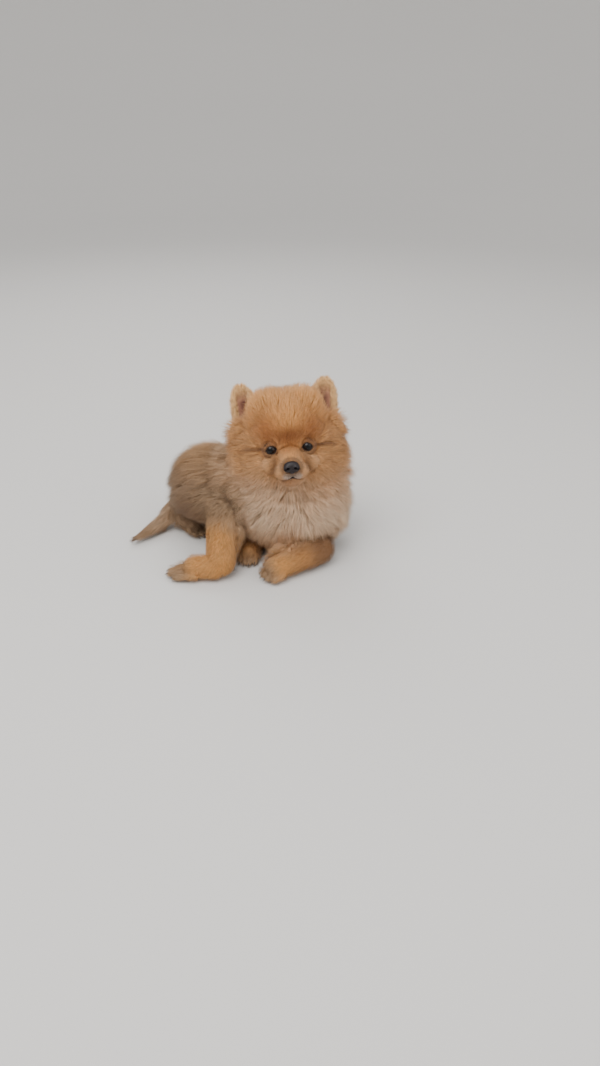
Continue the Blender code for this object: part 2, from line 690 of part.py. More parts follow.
def limb_bones(tail):
    """The straight stretches of the legs, feet and perhaps the tail, as (start, end, two radii)."""
    bones = []
    chains = (FORELEG_RIGHT, HAND_RIGHT, FORELEG_LEFT, HAND_LEFT, FOOT_RIGHT, FOOT_LEFT)
    for chain in chains + ((TAIL,) if tail else ()):
        for (start, thick), (end, thin) in zip(chain, chain[1:]):
            bones.append((Vector(start), Vector(end), thick, thin))
    for hand, reach in ((HAND_RIGHT, 0.031), (HAND_LEFT, 0.018), (FOOT_RIGHT, 0.020), (FOOT_LEFT, 0.017)):
        (start, _), (end, thin) = hand[-2:]
        along = (Vector(end) - Vector(start)).normalized()
        bones.append((Vector(end), Vector(end) + along * reach, thin, thin))
    return bones


def off_bone(place, bone):
    """The way off a limb's axis, and how far outside the limb's surface a place is."""
    start, end, thick, thin = bone
    along = end - start
    share = max(0.0, min(1.0, (place - start).dot(along) / along.length_squared))
    away = place - (start + along * share)
    return away, away.length - (thick + (thin - thick) * share)


def bent_clear(place, side, bones):
    """A lock's point pushed off the limbs and the floor, with both edges of the lock."""
    for bone in bones:
        gaps = [off_bone(spot, bone) for spot in (place, place + side, place - side)]
        away, gap = min(gaps, key=lambda found: found[1])
        if gap < LIMB_CLEAR:
            place = place + away.normalized() * (LIMB_CLEAR - gap)
    return Vector((place.x, place.y, max(place.z, LOCK_LOWEST)))


def near_ear(place):
    """Whether a place is close to either ear."""
    local = HEAD.inverted() @ place
    local.x = abs(local.x)
    along = EAR_TIP - EAR_ROOT
    share = max(0.0, min(1.1, (local - EAR_ROOT).dot(along) / along.length_squared))
    return (local - (EAR_ROOT + along * share)).length < EAR_CLEAR


def near_cell(place):
    """Whether a place is close to the faces of a thigh's cell."""
    for centre, size in (THIGH_RIGHT_CELL, THIGH_LEFT_CELL):
        outside = max(abs(place[axis] - centre[axis]) - size[axis] / 2 for axis in range(3))
        if abs(outside) < CUT_CLEAR:
            return True
    return False


def bare(place, cuts):
    """Whether a place carries no long coat: the face, the cut faces, the legs' beds and the underside."""
    if not cuts:
        return place.z < 0.004
    if place.z < 0.012 or near_cell(place):
        return True
    for point, normal in cuts:
        if abs((place - point).dot(normal)) < CUT_CLEAR:
            return True
    local = HEAD.inverted() @ place
    if local.y < 0.000 and abs(local.x) < 0.031 and -0.040 < local.z < 0.030:
        return True
    if local.y < -0.015 and local.z >= 0.030:
        return True
    return near_ear(place)


def roots(obj, spacing, cuts, bones, chance):
    """Evenly spaced places for locks on a core: random points, each kept if it is far enough from the rest."""
    mesh = obj.data
    mesh.calc_loop_triangles()
    triangles = list(mesh.loop_triangles)
    picked = []
    for triangle in chance.choices(triangles, weights=[t.area for t in triangles], k=TRIES):
        a, b, c = (mesh.vertices[v].co for v in triangle.vertices)
        u, v = chance.random(), chance.random()
        if u + v > 1:
            u, v = 1 - u, 1 - v
        place = a + (b - a) * u + (c - a) * v
        normal = triangle.normal.copy()
        if normal.z < UNDERSIDE or bare(place, cuts):
            continue
        if any(off_bone(place, bone)[1] < ROOT_CLEAR for bone in bones):
            continue
        if all((place - other).length > spacing for other, _ in picked):
            picked.append((place, normal))
    return picked


def lock_line(place, normal, name, reach, bones, chance):
    """The middle line of one lock, from its sunk root to its tip, and the way across it.

    A lock that would have to bend too far to clear a limb is left out.
    """
    _, length, half_width, _ = COAT[name]
    lie = lie_at(place, normal)
    lie = (lie + lie.cross(normal) * chance.uniform(-0.22, 0.22)).normalized()
    across = lie.cross(normal).normalized()
    length *= chance.uniform(0.85, 1.15)
    line = [place - normal * min(ROOT_DEPTH, half_width) - lie * 0.002]
    for along, up, share in ((0.30, 0.60, 1.0), (0.66, 0.95, 0.74), (1.0, 0.95, TIP_SHARE)):
        spot = place + lie * (length * along) + normal * (reach * up * chance.uniform(0.92, 1.08))
        spot.z -= SAG * length * along * along
        bent = bent_clear(spot, across * half_width * share, bones)
        if (bent - spot).xy.length > MOST_BEND:
            return None
        line.append(bent)
    middles = [(a + b) / 2 for a, b in zip(line[1:], line[2:])]
    if any(off_bone(middle, bone)[1] < LIMB_CLEAR / 2 for middle in middles for bone in bones):
        return None
    return line, across


def crosses(line, upper):
    """Whether a lock comes too close to one that lies over it."""
    middles = [(a + b) / 2 for a, b in zip(line[1:], line[2:])]
    for place in line[1:] + middles:
        for start, end in zip(upper, upper[1:]):
            along = end - start
            share = max(0.0, min(1.0, (place - start).dot(along) / along.length_squared))
            if (place - start - along * share).length < LOCK_APART:
                return True
    return False


def add_lock(shape, line, across, half_width, thickness, grow=0.0):
    """Adds one closed flat lock: rings with a flat back and a low ridge, that taper to a blunt tip."""
    rings = []
    for order, (spot, wide, thick) in enumerate(zip(line, LOCK_WIDTHS, LOCK_THICKNESSES)):
        before, after = line[max(0, order - 1)], line[min(len(line) - 1, order + 1)]
        along = (after - before).normalized()
        side = (across - along * across.dot(along)).normalized() * (half_width * wide + 5 * grow)
        up = side.cross(along).normalized() * (thickness * thick / 2)
        if grow and order in (0, len(line) - 1):
            spot = spot + along * (grow if order else -grow)
        lift = up.normalized() * grow
        rings.append([shape.verts.new(spot + move) for move in (side - up - lift, up + 2 * lift, -side - up - lift)])
    for ring, after in zip(rings, rings[1:]):
        for here in range(3):
            there = (here + 1) % 3
            shape.faces.new((ring[here], ring[there], after[there], after[here]))
    shape.faces.new(list(reversed(rings[0])))
    shape.faces.new(rings[-1])


def lock_object(name, lock, half_width, thickness, home, grow=0.0):
    """One lock as an object."""
    shape = bmesh.new()
    add_lock(shape, *lock, half_width, thickness, grow)
    bmesh.ops.recalc_face_normals(shape, faces=shape.faces)
    return mesh_object(name, shape, home)


def locks_on(piece, name, cuts, bones, reach_at, over, chance):
    """The locks that a piece carries: none of them crosses a limb, an ear or a lock of the coat over it."""
    found = []
    for place, normal in roots(piece, COAT[name][0], cuts, bones, chance):
        lock = lock_line(place, normal, name, reach_at(place, normal), bones, chance)
        if lock is None or any(near_ear(spot) for spot in lock[0]):
            continue
        if not any(crosses(lock[0], upper) for upper in over):
            found.append(lock)
    print(f"{name}: {len(found)} locks")
    return found


def join_locks(piece, locks, name, aside):
    """Joins locks to their piece and trims them level with the floor."""
    _, _, half_width, thickness = COAT[name]
    group = collection("locks")
    for lock in locks:
        lock_object("lock", lock, half_width, thickness, group)
    boolean(piece, group, "UNION")
    discard(*list(group.objects))
    largest_body(piece)
    trim_to_floor(piece, aside)


def plant_coat(pieces, cuts, aside):
    """Plants the long coat on every piece that has one, each piece's locks over those of the pieces after it."""
    chance = random.Random(SEED)
    masses, bones = list(coat_masses()), limb_bones(tail=True)
    planted, over = {}, []
    for name, piece in pieces.items():
        planted[name] = locks_on(
            piece, name, cuts, bones, lambda place, normal: reach_to_outline(place, normal, masses), over, chance,
        )
        over += [line for line, _ in planted[name]]
    cores = {name: duplicate(piece, name + "_core", aside) for name, piece in pieces.items()}
    done = []
    for name, piece in pieces.items():
        join_locks(piece, planted[name], name, aside)
        for other in done:
            clear_of(piece, cores[other], aside)
            clear_of_locks(piece, planted[other], other)
        done.append(name)
    discard(*cores.values())


def clear_of_locks(piece, locks, name):
    """Cuts a piece back so that it stands the gap clear of the locks that lie over it."""
    _, _, half_width, thickness = COAT[name]
    group = collection("grown")
    for lock in locks:
        if overlaps(lock[0], piece, half_width):
            helper(lock_object("grown", lock, half_width, thickness, group, GAP * 1.2))
    if group.objects:
        boolean(piece, group, "DIFFERENCE")
        discard(*list(group.objects))
        largest_body(piece)


def overlaps(line, piece, margin):
    """Whether a lock's box meets a piece's box."""
    corners = [spot.co for spot in piece.data.vertices]
    for axis in range(3):
        low, high = min(c[axis] for c in corners), max(c[axis] for c in corners)
        if max(p[axis] for p in line) + margin < low or min(p[axis] for p in line) - margin > high:
            return False
    return True


def main():
    """Builds every node."""
    clear_scene()
    body = collection("pomeranian")
    aside = collection("cutters")
    whole = trim_to_floor(whole_form(body), aside)
    limbs = []
    limbs += paw(
        "forepaw_right", HAND_RIGHT, 0.0265, 0.0072, 0.0085, WRIST_RIGHT_CUT, LIMB_VOXEL, 480, body, aside,
        upper=("foreleg_right", FORELEG_RIGHT),
    )
    limbs += paw(
        "forepaw_left", HAND_LEFT, 0.0135, 0.0074, 0.0090, WRIST_LEFT_CUT, LIMB_VOXEL, 480, body, aside,
        upper=("foreleg_left", FORELEG_LEFT),
    )
    shape = bmesh.new()
    add_limb(shape, TAIL)
    tail = fuse(mesh_object("tail", shape, body), LIMB_VOXEL, 3, 240)
    trim_to_floor(tail, aside)
    bones = limb_bones(tail=False)
    tail_locks = locks_on(tail, "tail", [], bones, lambda place, normal: TAIL_REACH, [], random.Random(SEED))
    join_locks(tail, tail_locks, "tail", aside)
    tail.data.materials.append(finish("coat_sable"))
    limbs += paw("hindpaw_right", FOOT_RIGHT, 0.0160, 0.0054, 0.0075, None, LIMB_VOXEL, 240, body, aside)
    limbs += paw("hindpaw_left", FOOT_LEFT, 0.0130, 0.0056, 0.0080, None, LIMB_VOXEL, 240, body, aside)
    clear_of(limbs[-2], tail, aside)
    limbs.append(tail)
    for limb in limbs:
        clear_of(whole, limb, aside)
    head = part_by_plane(whole, HEAD_CUT, "head", body, aside)
    neck = part_by_plane(whole, NECK_CUT, "neck", body, aside)
    right_thigh = part_by_cell(whole, THIGH_RIGHT_CELL, "hindleg_right", body, aside)
    left_thigh = part_by_cell(whole, THIGH_LEFT_CELL, "hindleg_left", body, aside)
    coated = {
        "head": head, "neck": neck, "torso": whole, "hindleg_right": right_thigh, "hindleg_left": left_thigh,
    }
    cuts = [(Vector(point), Vector(normal).normalized()) for point, normal in (HEAD_CUT, NECK_CUT)]
    plant_coat(coated, cuts, aside)
    for limb in limbs:
        for piece in coated.values():
            clear_of(piece, limb, aside)
    dress_head(head, body, aside)
    nose(head, body, aside)
    ears(head, body, aside)
    head.data.materials.append(finish("coat_orange"))
    neck.data.materials.append(finish("coat_cream"))
    for piece in (whole, right_thigh, left_thigh):
        piece.data.materials.append(finish("coat_sable"))


main()
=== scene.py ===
"""A Pomeranian puppy at rest on the floor: its skin, coat, eyes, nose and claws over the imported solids.

The coat is solid mesh. Each hair strand is rooted in the skin, follows the lie of the coat there, and bends
towards the middle of its lock. Lie, length and colour come from one list of guides. Lengths are in metres
where nothing else is said.
"""

import logging
import math
from dataclasses import dataclass, field
from enum import Enum

import bmesh
import bpy
import numpy as np
from mathutils import Euler, Matrix, Vector
from mathutils.kdtree import KDTree


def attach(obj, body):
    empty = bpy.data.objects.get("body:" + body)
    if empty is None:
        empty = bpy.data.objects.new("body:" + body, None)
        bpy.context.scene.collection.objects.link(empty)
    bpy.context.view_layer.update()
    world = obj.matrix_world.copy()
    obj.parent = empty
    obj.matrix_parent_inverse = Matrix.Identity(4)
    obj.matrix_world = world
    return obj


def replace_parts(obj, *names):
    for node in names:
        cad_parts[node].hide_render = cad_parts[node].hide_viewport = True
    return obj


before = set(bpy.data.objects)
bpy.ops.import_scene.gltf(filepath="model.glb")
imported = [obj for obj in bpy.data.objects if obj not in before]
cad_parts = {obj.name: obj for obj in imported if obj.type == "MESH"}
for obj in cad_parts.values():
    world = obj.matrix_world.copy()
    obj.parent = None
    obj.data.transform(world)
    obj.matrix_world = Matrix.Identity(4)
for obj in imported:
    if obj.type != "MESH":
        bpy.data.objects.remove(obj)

logging.basicConfig(level=logging.INFO, format="%(message)s")
log = logging.getLogger("puppy")

Triple = tuple[float, float, float]
Stations = tuple[tuple[Triple, float], ...]
Object = bpy.types.Object
Material = bpy.types.Material
Shape = bmesh.types.BMesh

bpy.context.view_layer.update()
SEED = 11
SKIN_SHARE = 0.48
MAP_NAME = "OFBake"
COLOUR_NAME = "Coat"
SIDES: dict[int, str] = {1: "left", -1: "right"}
UP = Vector((0, 0, 1))
ROW = Matrix.Identity(4)

HEAD_CENTRE = Vector((0.0536, -0.0450, 0.1390))
HEAD_TURN = Euler((math.radians(-15.0), math.radians(-4.0), math.radians(4.5))).to_matrix().to_4x4()
HEAD = Matrix.Translation(HEAD_CENTRE) @ HEAD_TURN
HEAD_INVERSE = np.array(HEAD.inverted())


def linear(colour: np.ndarray) -> np.ndarray:
    """Turns colours of 0 to 255 as a screen shows them into linear light."""
    share = np.clip(np.asarray(colour, dtype=float) / 255.0, 0.0, 1.0)
    return np.where(share <= 0.04045, share / 12.92, ((share + 0.055) / 1.055) ** 2.4)


def unit(vectors: np.ndarray) -> np.ndarray:
    """Vectors of length one."""
    return vectors / np.maximum(np.linalg.norm(vectors, axis=-1, keepdims=True), 1e-12)


def smooth_step(low: float, high: float, value: np.ndarray) -> np.ndarray:
    """Rises smoothly from 0 at low to 1 at high."""
    share = np.clip((value - low) / (high - low), 0.0, 1.0)
    return share * share * (3.0 - 2.0 * share)


def metres(value: float | tuple) -> float | tuple:
    """Turns millimetres into metres, in one number or in tuples of them."""
    return value / 1000.0 if isinstance(value, (int, float)) else tuple(metres(part) for part in value)


def to_head(places: np.ndarray) -> np.ndarray:
    """Places in the head's own frame."""
    return places @ HEAD_INVERSE[:3, :3].T + HEAD_INVERSE[:3, 3]


def mirror(places: np.ndarray) -> np.ndarray:
    """Places in the head's own frame, all brought to the dog's left.

    Args:
        places: the places in the row frame.

    Returns:
        The places in the head's frame, all with +X.
    """
    local = to_head(places)
    local[..., 0] = np.abs(local[..., 0])
    return local


def off_centre(places: np.ndarray, centre: Triple, radii: Triple = (1.0, 1.0, 1.0)) -> np.ndarray:
    """Distance of places from a centre, counted in radii."""
    return np.linalg.norm((places - np.array(centre)) / np.array(radii), axis=-1)


def off_line(places: np.ndarray, start: Triple, end: Triple) -> np.ndarray:
    """Distance of places from a straight line between two ends.

    Args:
        places: the places.
        start: one end of the line.
        end: its other end.

    Returns:
        The distance of each place.
    """
    first, along = np.array(start), np.array(end) - np.array(start)
    share = np.clip((places - first) @ along / (along @ along), 0.0, 1.0)
    return np.linalg.norm(places - first - share[:, None] * along, axis=1)


class Zone(Enum):
    """The parts of the coat: each one's name, and the slot for its finish."""

    FACE = ("face", "coat_orange")
    CROWN = ("crown", "coat_orange")
    CHEEK = ("cheek", "coat_orange")
    EAR = ("ear", "ear_skin")
    RUFF = ("ruff", "coat_cream")
    CHEST = ("chest", "coat_cream")
    BACK = ("back", "coat_sable")
    FLANK = ("flank", "coat_sable")
    THIGH = ("thigh", "coat_sable")
    TAIL = ("tail", "coat_sable")
    FORELEG = ("foreleg", "coat_orange")
    FOOT = ("foot", "coat_orange")


ORDER = {zone: order for order, zone in enumerate(Zone)}


class Tone(Enum):
    """The colours of the hair and skin, as a screen shows them, from 0 to 255. Two of them are painted shade:
    the shadow under the haunch and the shade in the hollow of the ear.
    """

    GOLD = (228, 162, 92)
    PALE_GOLD = (252, 205, 142)
    AMBER = (170, 104, 50)
    RUSSET = (116, 62, 24)
    TAN = (203, 145, 88)
    CREAM = (254, 222, 188)
    FAWN = (230, 184, 142)
    SABLE = (160, 131, 101)
    ASH = (184, 142, 98)
    UMBER = (179, 146, 115)
    HONEY = (225, 163, 95)
    MIST = (178, 145, 112)
    SMOKE = (116, 98, 84)
    LID = (30, 22, 20)
    TEAR = (112, 74, 48)
    FROST = (208, 190, 176)
    SOOT = (72, 52, 44)
    APRICOT = (234, 168, 102)
    OCHRE = (206, 140, 78)
    BISCUIT = (224, 170, 118)
    DUN = (190, 140, 100)
    COCOA = (150, 108, 74)
    STRAW = (204, 170, 136)
    # Painted shade: the darker brown of the shadow under the haunch.
    HAUNCH_SHADE = (128, 96, 70)
    EAR_CREAM = (242, 196, 136)
    EAR_PINK = (164, 114, 94)
    # Painted shade: the darker mauve in the middle of the ear's hollow.
    EAR_HOLLOW_SHADE = (92, 54, 46)

    def linear(self) -> np.ndarray:
        """The tone in linear light."""
        return linear(np.array(self.value))


@dataclass(frozen=True)
class Guide:
    """The coat at one place: where a hair points, how long it is, and its tone. Sizes are in millimetres."""

    zone: Zone
    place: Triple
    lie: Triple
    length: float
    tone: Tone


GUIDE_ROWS: dict[Zone, tuple[tuple[Triple, Triple, float, Tone], ...]] = {
    Zone.FACE: (
        ((56.5, -88, 142), (0, 0.9, 0.35), 3.6, Tone.APRICOT),
        ((56, -78, 145), (0, 0.8, 0.55), 4.6, Tone.OCHRE),
        ((54.5, -72, 152), (0, 0.45, 0.9), 6.5, Tone.AMBER),
        ((65, -85, 134), (0.45, 0.8, -0.15), 4.4, Tone.BISCUIT),
        ((47, -86, 133), (-0.45, 0.8, -0.15), 4.4, Tone.BISCUIT),
        ((69, -76, 126), (0.6, 0.55, -0.6), 8, Tone.TAN),
        ((42, -78, 124), (-0.6, 0.55, -0.6), 8, Tone.TAN),
        ((56, -86, 119), (0, 0.6, -0.8), 4.6, Tone.DUN),
        ((72, -70, 133), (0.75, 0.5, -0.35), 10, Tone.BISCUIT),
        ((38, -72, 131), (-0.75, 0.5, -0.35), 10, Tone.BISCUIT),
        ((36, -64, 158), (-0.55, 0.5, 0.65), 10, Tone.AMBER),
        ((74, -62, 160), (0.55, 0.5, 0.65), 10, Tone.AMBER),
        ((54, -64, 168), (0, 0.6, 0.8), 13, Tone.GOLD),
    ),
    Zone.CROWN: (
        ((52, -45, 188), (0, 0.7, 0.7), 21, Tone.GOLD),
        ((25, -35, 185), (-0.3, 0.7, 0.6), 21, Tone.GOLD),
        ((80, -33, 188), (0.3, 0.7, 0.6), 21, Tone.GOLD),
        ((52, -15, 193), (0, 0.95, 0.25), 25, Tone.PALE_GOLD),
        ((52, 5, 175), (0, 0.75, -0.66), 25, Tone.TAN),
        ((52, 25, 150), (0, 0.45, -0.88), 30, Tone.TAN),
    ),
    Zone.CHEEK: (
        ((18, -56, 129), (-0.9, 0.4, -0.2), 14, Tone.TAN),
        ((-4, -35, 130), (-0.88, 0.4, -0.3), 24, Tone.TAN),
        ((90, -52, 131), (0.9, 0.4, -0.2), 14, Tone.TAN),
        ((110, -30, 133), (0.86, 0.42, -0.35), 24, Tone.TAN),
        ((-6, -20, 155), (-0.7, 0.6, -0.4), 20, Tone.TAN),
        ((113, -15, 158), (0.7, 0.6, -0.4), 20, Tone.TAN),
    ),
    Zone.RUFF: (
        ((56, -75, 100), (0, 0.05, -1), 16, Tone.CREAM),
        ((25, -68, 95), (-0.8, 0.25, -0.5), 28, Tone.CREAM),
        ((88, -65, 96), (0.8, 0.25, -0.5), 28, Tone.FAWN),
        ((-10, -30, 100), (-0.86, 0.35, -0.4), 34, Tone.FAWN),
        ((120, -20, 100), (0.75, 0.35, -0.55), 32, Tone.FAWN),
        ((53, 42, 110), (0, 0.55, -0.85), 32, Tone.ASH),
    ),
    Zone.CHEST: (
        ((56, -80, 72), (0.05, -0.05, -1), 26, Tone.CREAM),
        ((30, -70, 64), (-0.7, 0.1, -0.7), 28, Tone.CREAM),
        ((85, -65, 66), (0.65, 0.1, -0.75), 28, Tone.CREAM),
        ((10, -60, 52), (-0.75, 0.2, -0.6), 26, Tone.CREAM),
        ((105, -48, 60), (0.55, 0.25, -0.8), 28, Tone.CREAM),
        ((56, -70, 30), (0, -0.3, -0.95), 20, Tone.FAWN),
    ),
    Zone.FLANK: (
        ((-6, -43, 70), (-0.8, 0.15, -0.55), 28, Tone.SABLE),
        ((-30, -22, 65), (-0.95, 0.15, -0.35), 28, Tone.SABLE),
        # Painted shadow under the haunch: this guide takes the shade brown.
        ((-48, -24, 48), (-0.9, 0.1, -0.35), 20, Tone.HAUNCH_SHADE),
        ((116, 0, 55), (0.25, 0.55, -0.8), 28, Tone.SABLE),
        ((60, 45, 60), (-0.4, 0.4, -0.8), 28, Tone.SABLE),
        ((-10, 60, 60), (-0.8, 0.2, -0.6), 28, Tone.SABLE),
    ),
    Zone.BACK: (
        ((0, 15, 108), (-0.95, 0.2, -0.1), 28, Tone.SABLE),
        ((-40, 20, 105), (-1, 0.1, -0.2), 28, Tone.ASH),
        ((-70, -5, 55), (-0.78, 0.45, -0.42), 26, Tone.SABLE),
        ((-80, 30, 60), (-0.55, 0.3, -0.8), 27, Tone.SABLE),
    ),
    Zone.THIGH: (
        # Painted shadow under the haunch: these two guides take the shade brown.
        ((-50, -22, 40), (-0.88, 0.1, -0.4), 18, Tone.HAUNCH_SHADE),
        ((-66, -6, 40), (-0.8, 0.2, -0.45), 20, Tone.HAUNCH_SHADE),
        ((-40, 70, 40), (-0.75, 0.2, -0.65), 24, Tone.SABLE),
        ((-25, -20, 12), (-0.5, -0.2, -0.8), 14, Tone.UMBER),
    ),
    Zone.TAIL: (
        ((-80, 40, 30), (-0.5, -0.6, -0.5), 20, Tone.STRAW),
        ((-97, 16, 14), (-0.55, -0.82, -0.15), 15, Tone.STRAW),
        ((-113, -5, 10), (-0.6, -0.78, -0.1), 13, Tone.MIST),
        ((-128, -20, 6), (-0.62, -0.75, -0.05), 10, Tone.SMOKE),
    ),
    Zone.FORELEG: (
        ((-16, -45, 52), (0, -0.6, -0.75), 10, Tone.SABLE),
        ((-18, -75, 40), (-0.05, -0.7, -0.7), 7, Tone.HONEY),
        ((-36, -65, 35), (-0.2, -0.6, -0.7), 7, Tone.HONEY),
        ((-15, -100, 20), (-0.35, -0.35, -0.6), 6, Tone.HONEY),
        ((-40, -95, 25), (-0.93, -0.28, -0.2), 5.5, Tone.HONEY),
        ((-70, -98, 10), (-0.93, -0.28, -0.25), 4.2, Tone.MIST),
        ((104, -55, 20), (-0.5, -0.5, -0.5), 9, Tone.COCOA),
        ((90, -70, 28), (-0.85, -0.5, 0), 8, Tone.COCOA),
        ((70, -85, 25), (-0.85, -0.5, 0), 7, Tone.TAN),
        ((50, -95, 22), (-0.84, -0.53, -0.05), 5.5, Tone.HONEY),
        ((30, -100, 12), (-0.8, -0.58, -0.15), 4.2, Tone.MIST),
    ),
    Zone.FOOT: (
        ((9, -50, 20), (-0.1, -1, -0.15), 6, Tone.TAN),
        ((8, -70, 8), (-0.1, -1, -0.2), 4.2, Tone.MIST),
        ((-70, 12, 20), (0.7, -0.6, -0.3), 7, Tone.UMBER),
        ((-48, -2, 8), (0.8, -0.5, -0.2), 4.2, Tone.SABLE),
    ),
}
GUIDES: tuple[Guide, ...] = tuple(Guide(zone, *row) for zone, rows in GUIDE_ROWS.items() for row in rows)


@dataclass(frozen=True)
class Mass:
    """One rounded mass of the body: its flesh, and the outline of the coat over it."""

    flesh_centre: Triple
    flesh_radii: Triple
    coat_centre: Triple
    coat_radii: Triple

    def between(self, share: float) -> tuple[Vector, Vector]:
        """Centre and radii of the form that share of the way from the flesh to the coat's outline."""
        centre = Vector(self.flesh_centre).lerp(Vector(self.coat_centre), share)
        return centre, Vector(self.flesh_radii).lerp(Vector(self.coat_radii), share)

    def mirrored(self) -> "Mass":
        """The same mass on the other side of the head."""
        flesh, coat = ((-centre[0], *centre[1:]) for centre in (self.flesh_centre, self.coat_centre))
        return Mass(flesh, self.flesh_radii, coat, self.coat_radii)


TRUNK: tuple[Mass, ...] = tuple(Mass(*row) for row in metres((
    ((52, -14, 56), (38, 36, 48), (54.5, -18, 58), (64, 61, 62)),
    ((80, -14, 50), (18, 24, 34), (81, -14, 54), (42, 46, 56)),
    ((24, -16, 52), (20, 24, 34), (20, -14, 58), (42, 46, 50)),
    ((20, 10, 52), (40, 32, 38), (18, 8, 58), (58, 52, 56)),
    ((-10, 20, 48), (34, 30, 36), (-10, 18, 54), (50, 47, 55)),
    ((-36, 26, 56), (31, 30, 30), (-36, 26, 61), (50, 45, 45)),
    ((-34, 4, 50), (28, 18, 20), (-36, 0, 53), (43, 29, 29)),
    ((-18, 40, 26), (30, 20, 24), (-18, 42, 30), (43, 34, 34)),
    ((0, 4, 22), (36, 26, 22), (0, 4, 22), (42, 32, 24)),
    ((53, -10, 92), (34, 32, 34), (54.5, -14, 94), (70, 62, 52)),
    ((54, -22, 116), (30, 27, 26), (54, -18, 114), (73.5, 58, 44)),
)))
# The coat alone fills the step between the head and the neck.
NAPE = Mass(*metres(((54, -12, 130), (20, 20, 20), (54, -9, 136), (56, 46, 38))))
HEAD_SIDE: tuple[Mass, ...] = tuple(Mass(*row) for row in metres((
    ((14, 6, 15), (18, 22, 18), (17, 10, 27), (30, 32, 34)),
    ((20, 6, -4), (16, 20, 18), (37, 19, 0), (30, 32, 34)),
    ((17, 0, -14), (17, 17, 14), (31, 13, -18), (40, 30, 27)),
    ((11, -16, -13), (11, 11, 10), (13.5, -15, -14.5), (14.5, 13, 12.5)),
    ((6, -35.5, -21.8), (8, 8.4, 7), (6.6, -35, -21.9), (9.5, 9.4, 8)),
    ((36, 10, 18), (14, 8, 12), (40, 13, 16), (17, 12, 14)),
)))
HEAD_MIDDLE: tuple[Mass, ...] = tuple(Mass(*row) for row in metres((
    ((0, 4, 8), (31, 33, 28), (0, 10, 16), (46, 39, 42)),
    ((0, -12, 9), (22, 13, 15), (0, -9, 14), (32, 19, 27)),
    ((0, -28, -31), (8.5, 10.5, 5.2), (0, -28, -31.8), (10.2, 11.8, 6.2)),
)))
HEAD_MASSES: tuple[Mass, ...] = HEAD_MIDDLE + HEAD_SIDE + tuple(mass.mirrored() for mass in HEAD_SIDE)
MUZZLE: Stations = metres((((0, -17, -8.5), 12.8), ((0, -28, -14), 11.2), ((0, -37, -17.5), 8.2)))


@dataclass(frozen=True)
class Limb:
    """A leg, foot or tail: points along its middle with the radius of the coat, and the coat's depth."""

    stations: Stations
    depth: float
    toes: int = 0
    reach: float = 0.0
    spread: float = 0.0
    rise: float = 0.0

    @classmethod
    def of(cls, stations: Stations, depth: float, toes: int = 0, toe_sizes: Triple = (0, 0, 0)) -> "Limb":
        """A limb from sizes in millimetres."""
        return cls(metres(stations), metres(depth), toes, *metres(toe_sizes))

    def toe_lines(self) -> list[tuple[Vector, Vector, Vector, float]]:
        """Root, tip, direction and coat radius of each toe, the outer toes shorter.

        Returns:
            One row for each toe.
        """
        (start, _), (end, _) = self.stations[-2], self.stations[-1]
        along = Vector(end) - Vector(start)
        along.z = 0.0
        along.normalize()
        across = along.cross(UP)
        lines = []
        for order in range(self.toes):
            offset = order - (self.toes - 1) / 2
            length = self.reach * (1.0 if abs(offset) < 1 else 0.72)
            thick = self.spread * 0.76
            root = Vector(end) + across * (offset * self.spread)
            tip = root + along * length
            root.z, tip.z = self.rise, thick * 0.98
            lines.append((root, tip, along, thick))
        return lines


LIMBS: dict[str, Limb] = {
    "foreleg_right": Limb.of(
        (((-16, -36, 54), 18.5), ((-18.5, -60, 37), 19.5), ((-20, -83.5, 18.5), 18.2)),
        4,
    ),
    "forepaw_right": Limb.of(
        (((-20, -83.5, 18), 17.8), ((-27, -89, 14), 15), ((-47, -87.5, 12.5), 14.6)),
        3.2, 4, (26.5, 7.2, 8.5),
    ),
    "foreleg_left": Limb.of(
        (((87, -57, 18.8), 18.8), ((73, -68, 18.2), 18.4), ((58, -77.5, 17.5), 17.6)),
        4,
    ),
    "forepaw_left": Limb.of((((58, -77.5, 17.2), 17.2), ((41.5, -88, 13.5), 15.5)), 3.2, 4, (13.5, 7.4, 9)),
    "hindpaw_right": Limb.of(
        (((-70, 30, 34), 12.5), ((-74, 17, 15), 11), ((-61, 8, 10), 10.5)),
        2.8, 4, (16, 5.4, 7.5),
    ),
    "hindpaw_left": Limb.of((((13, -28, 13), 12), ((9, -53, 10.5), 11.2)), 2.8, 4, (13, 5.6, 8)),
    "tail": Limb.of(
        (
            ((-70, 46, 32), 11), ((-85, 33, 20), 10.5), ((-97, 16, 12), 9),
            ((-113, -5, 8.5), 6.6), ((-125, -17, 6), 4),
        ),
        3,
    ),
}


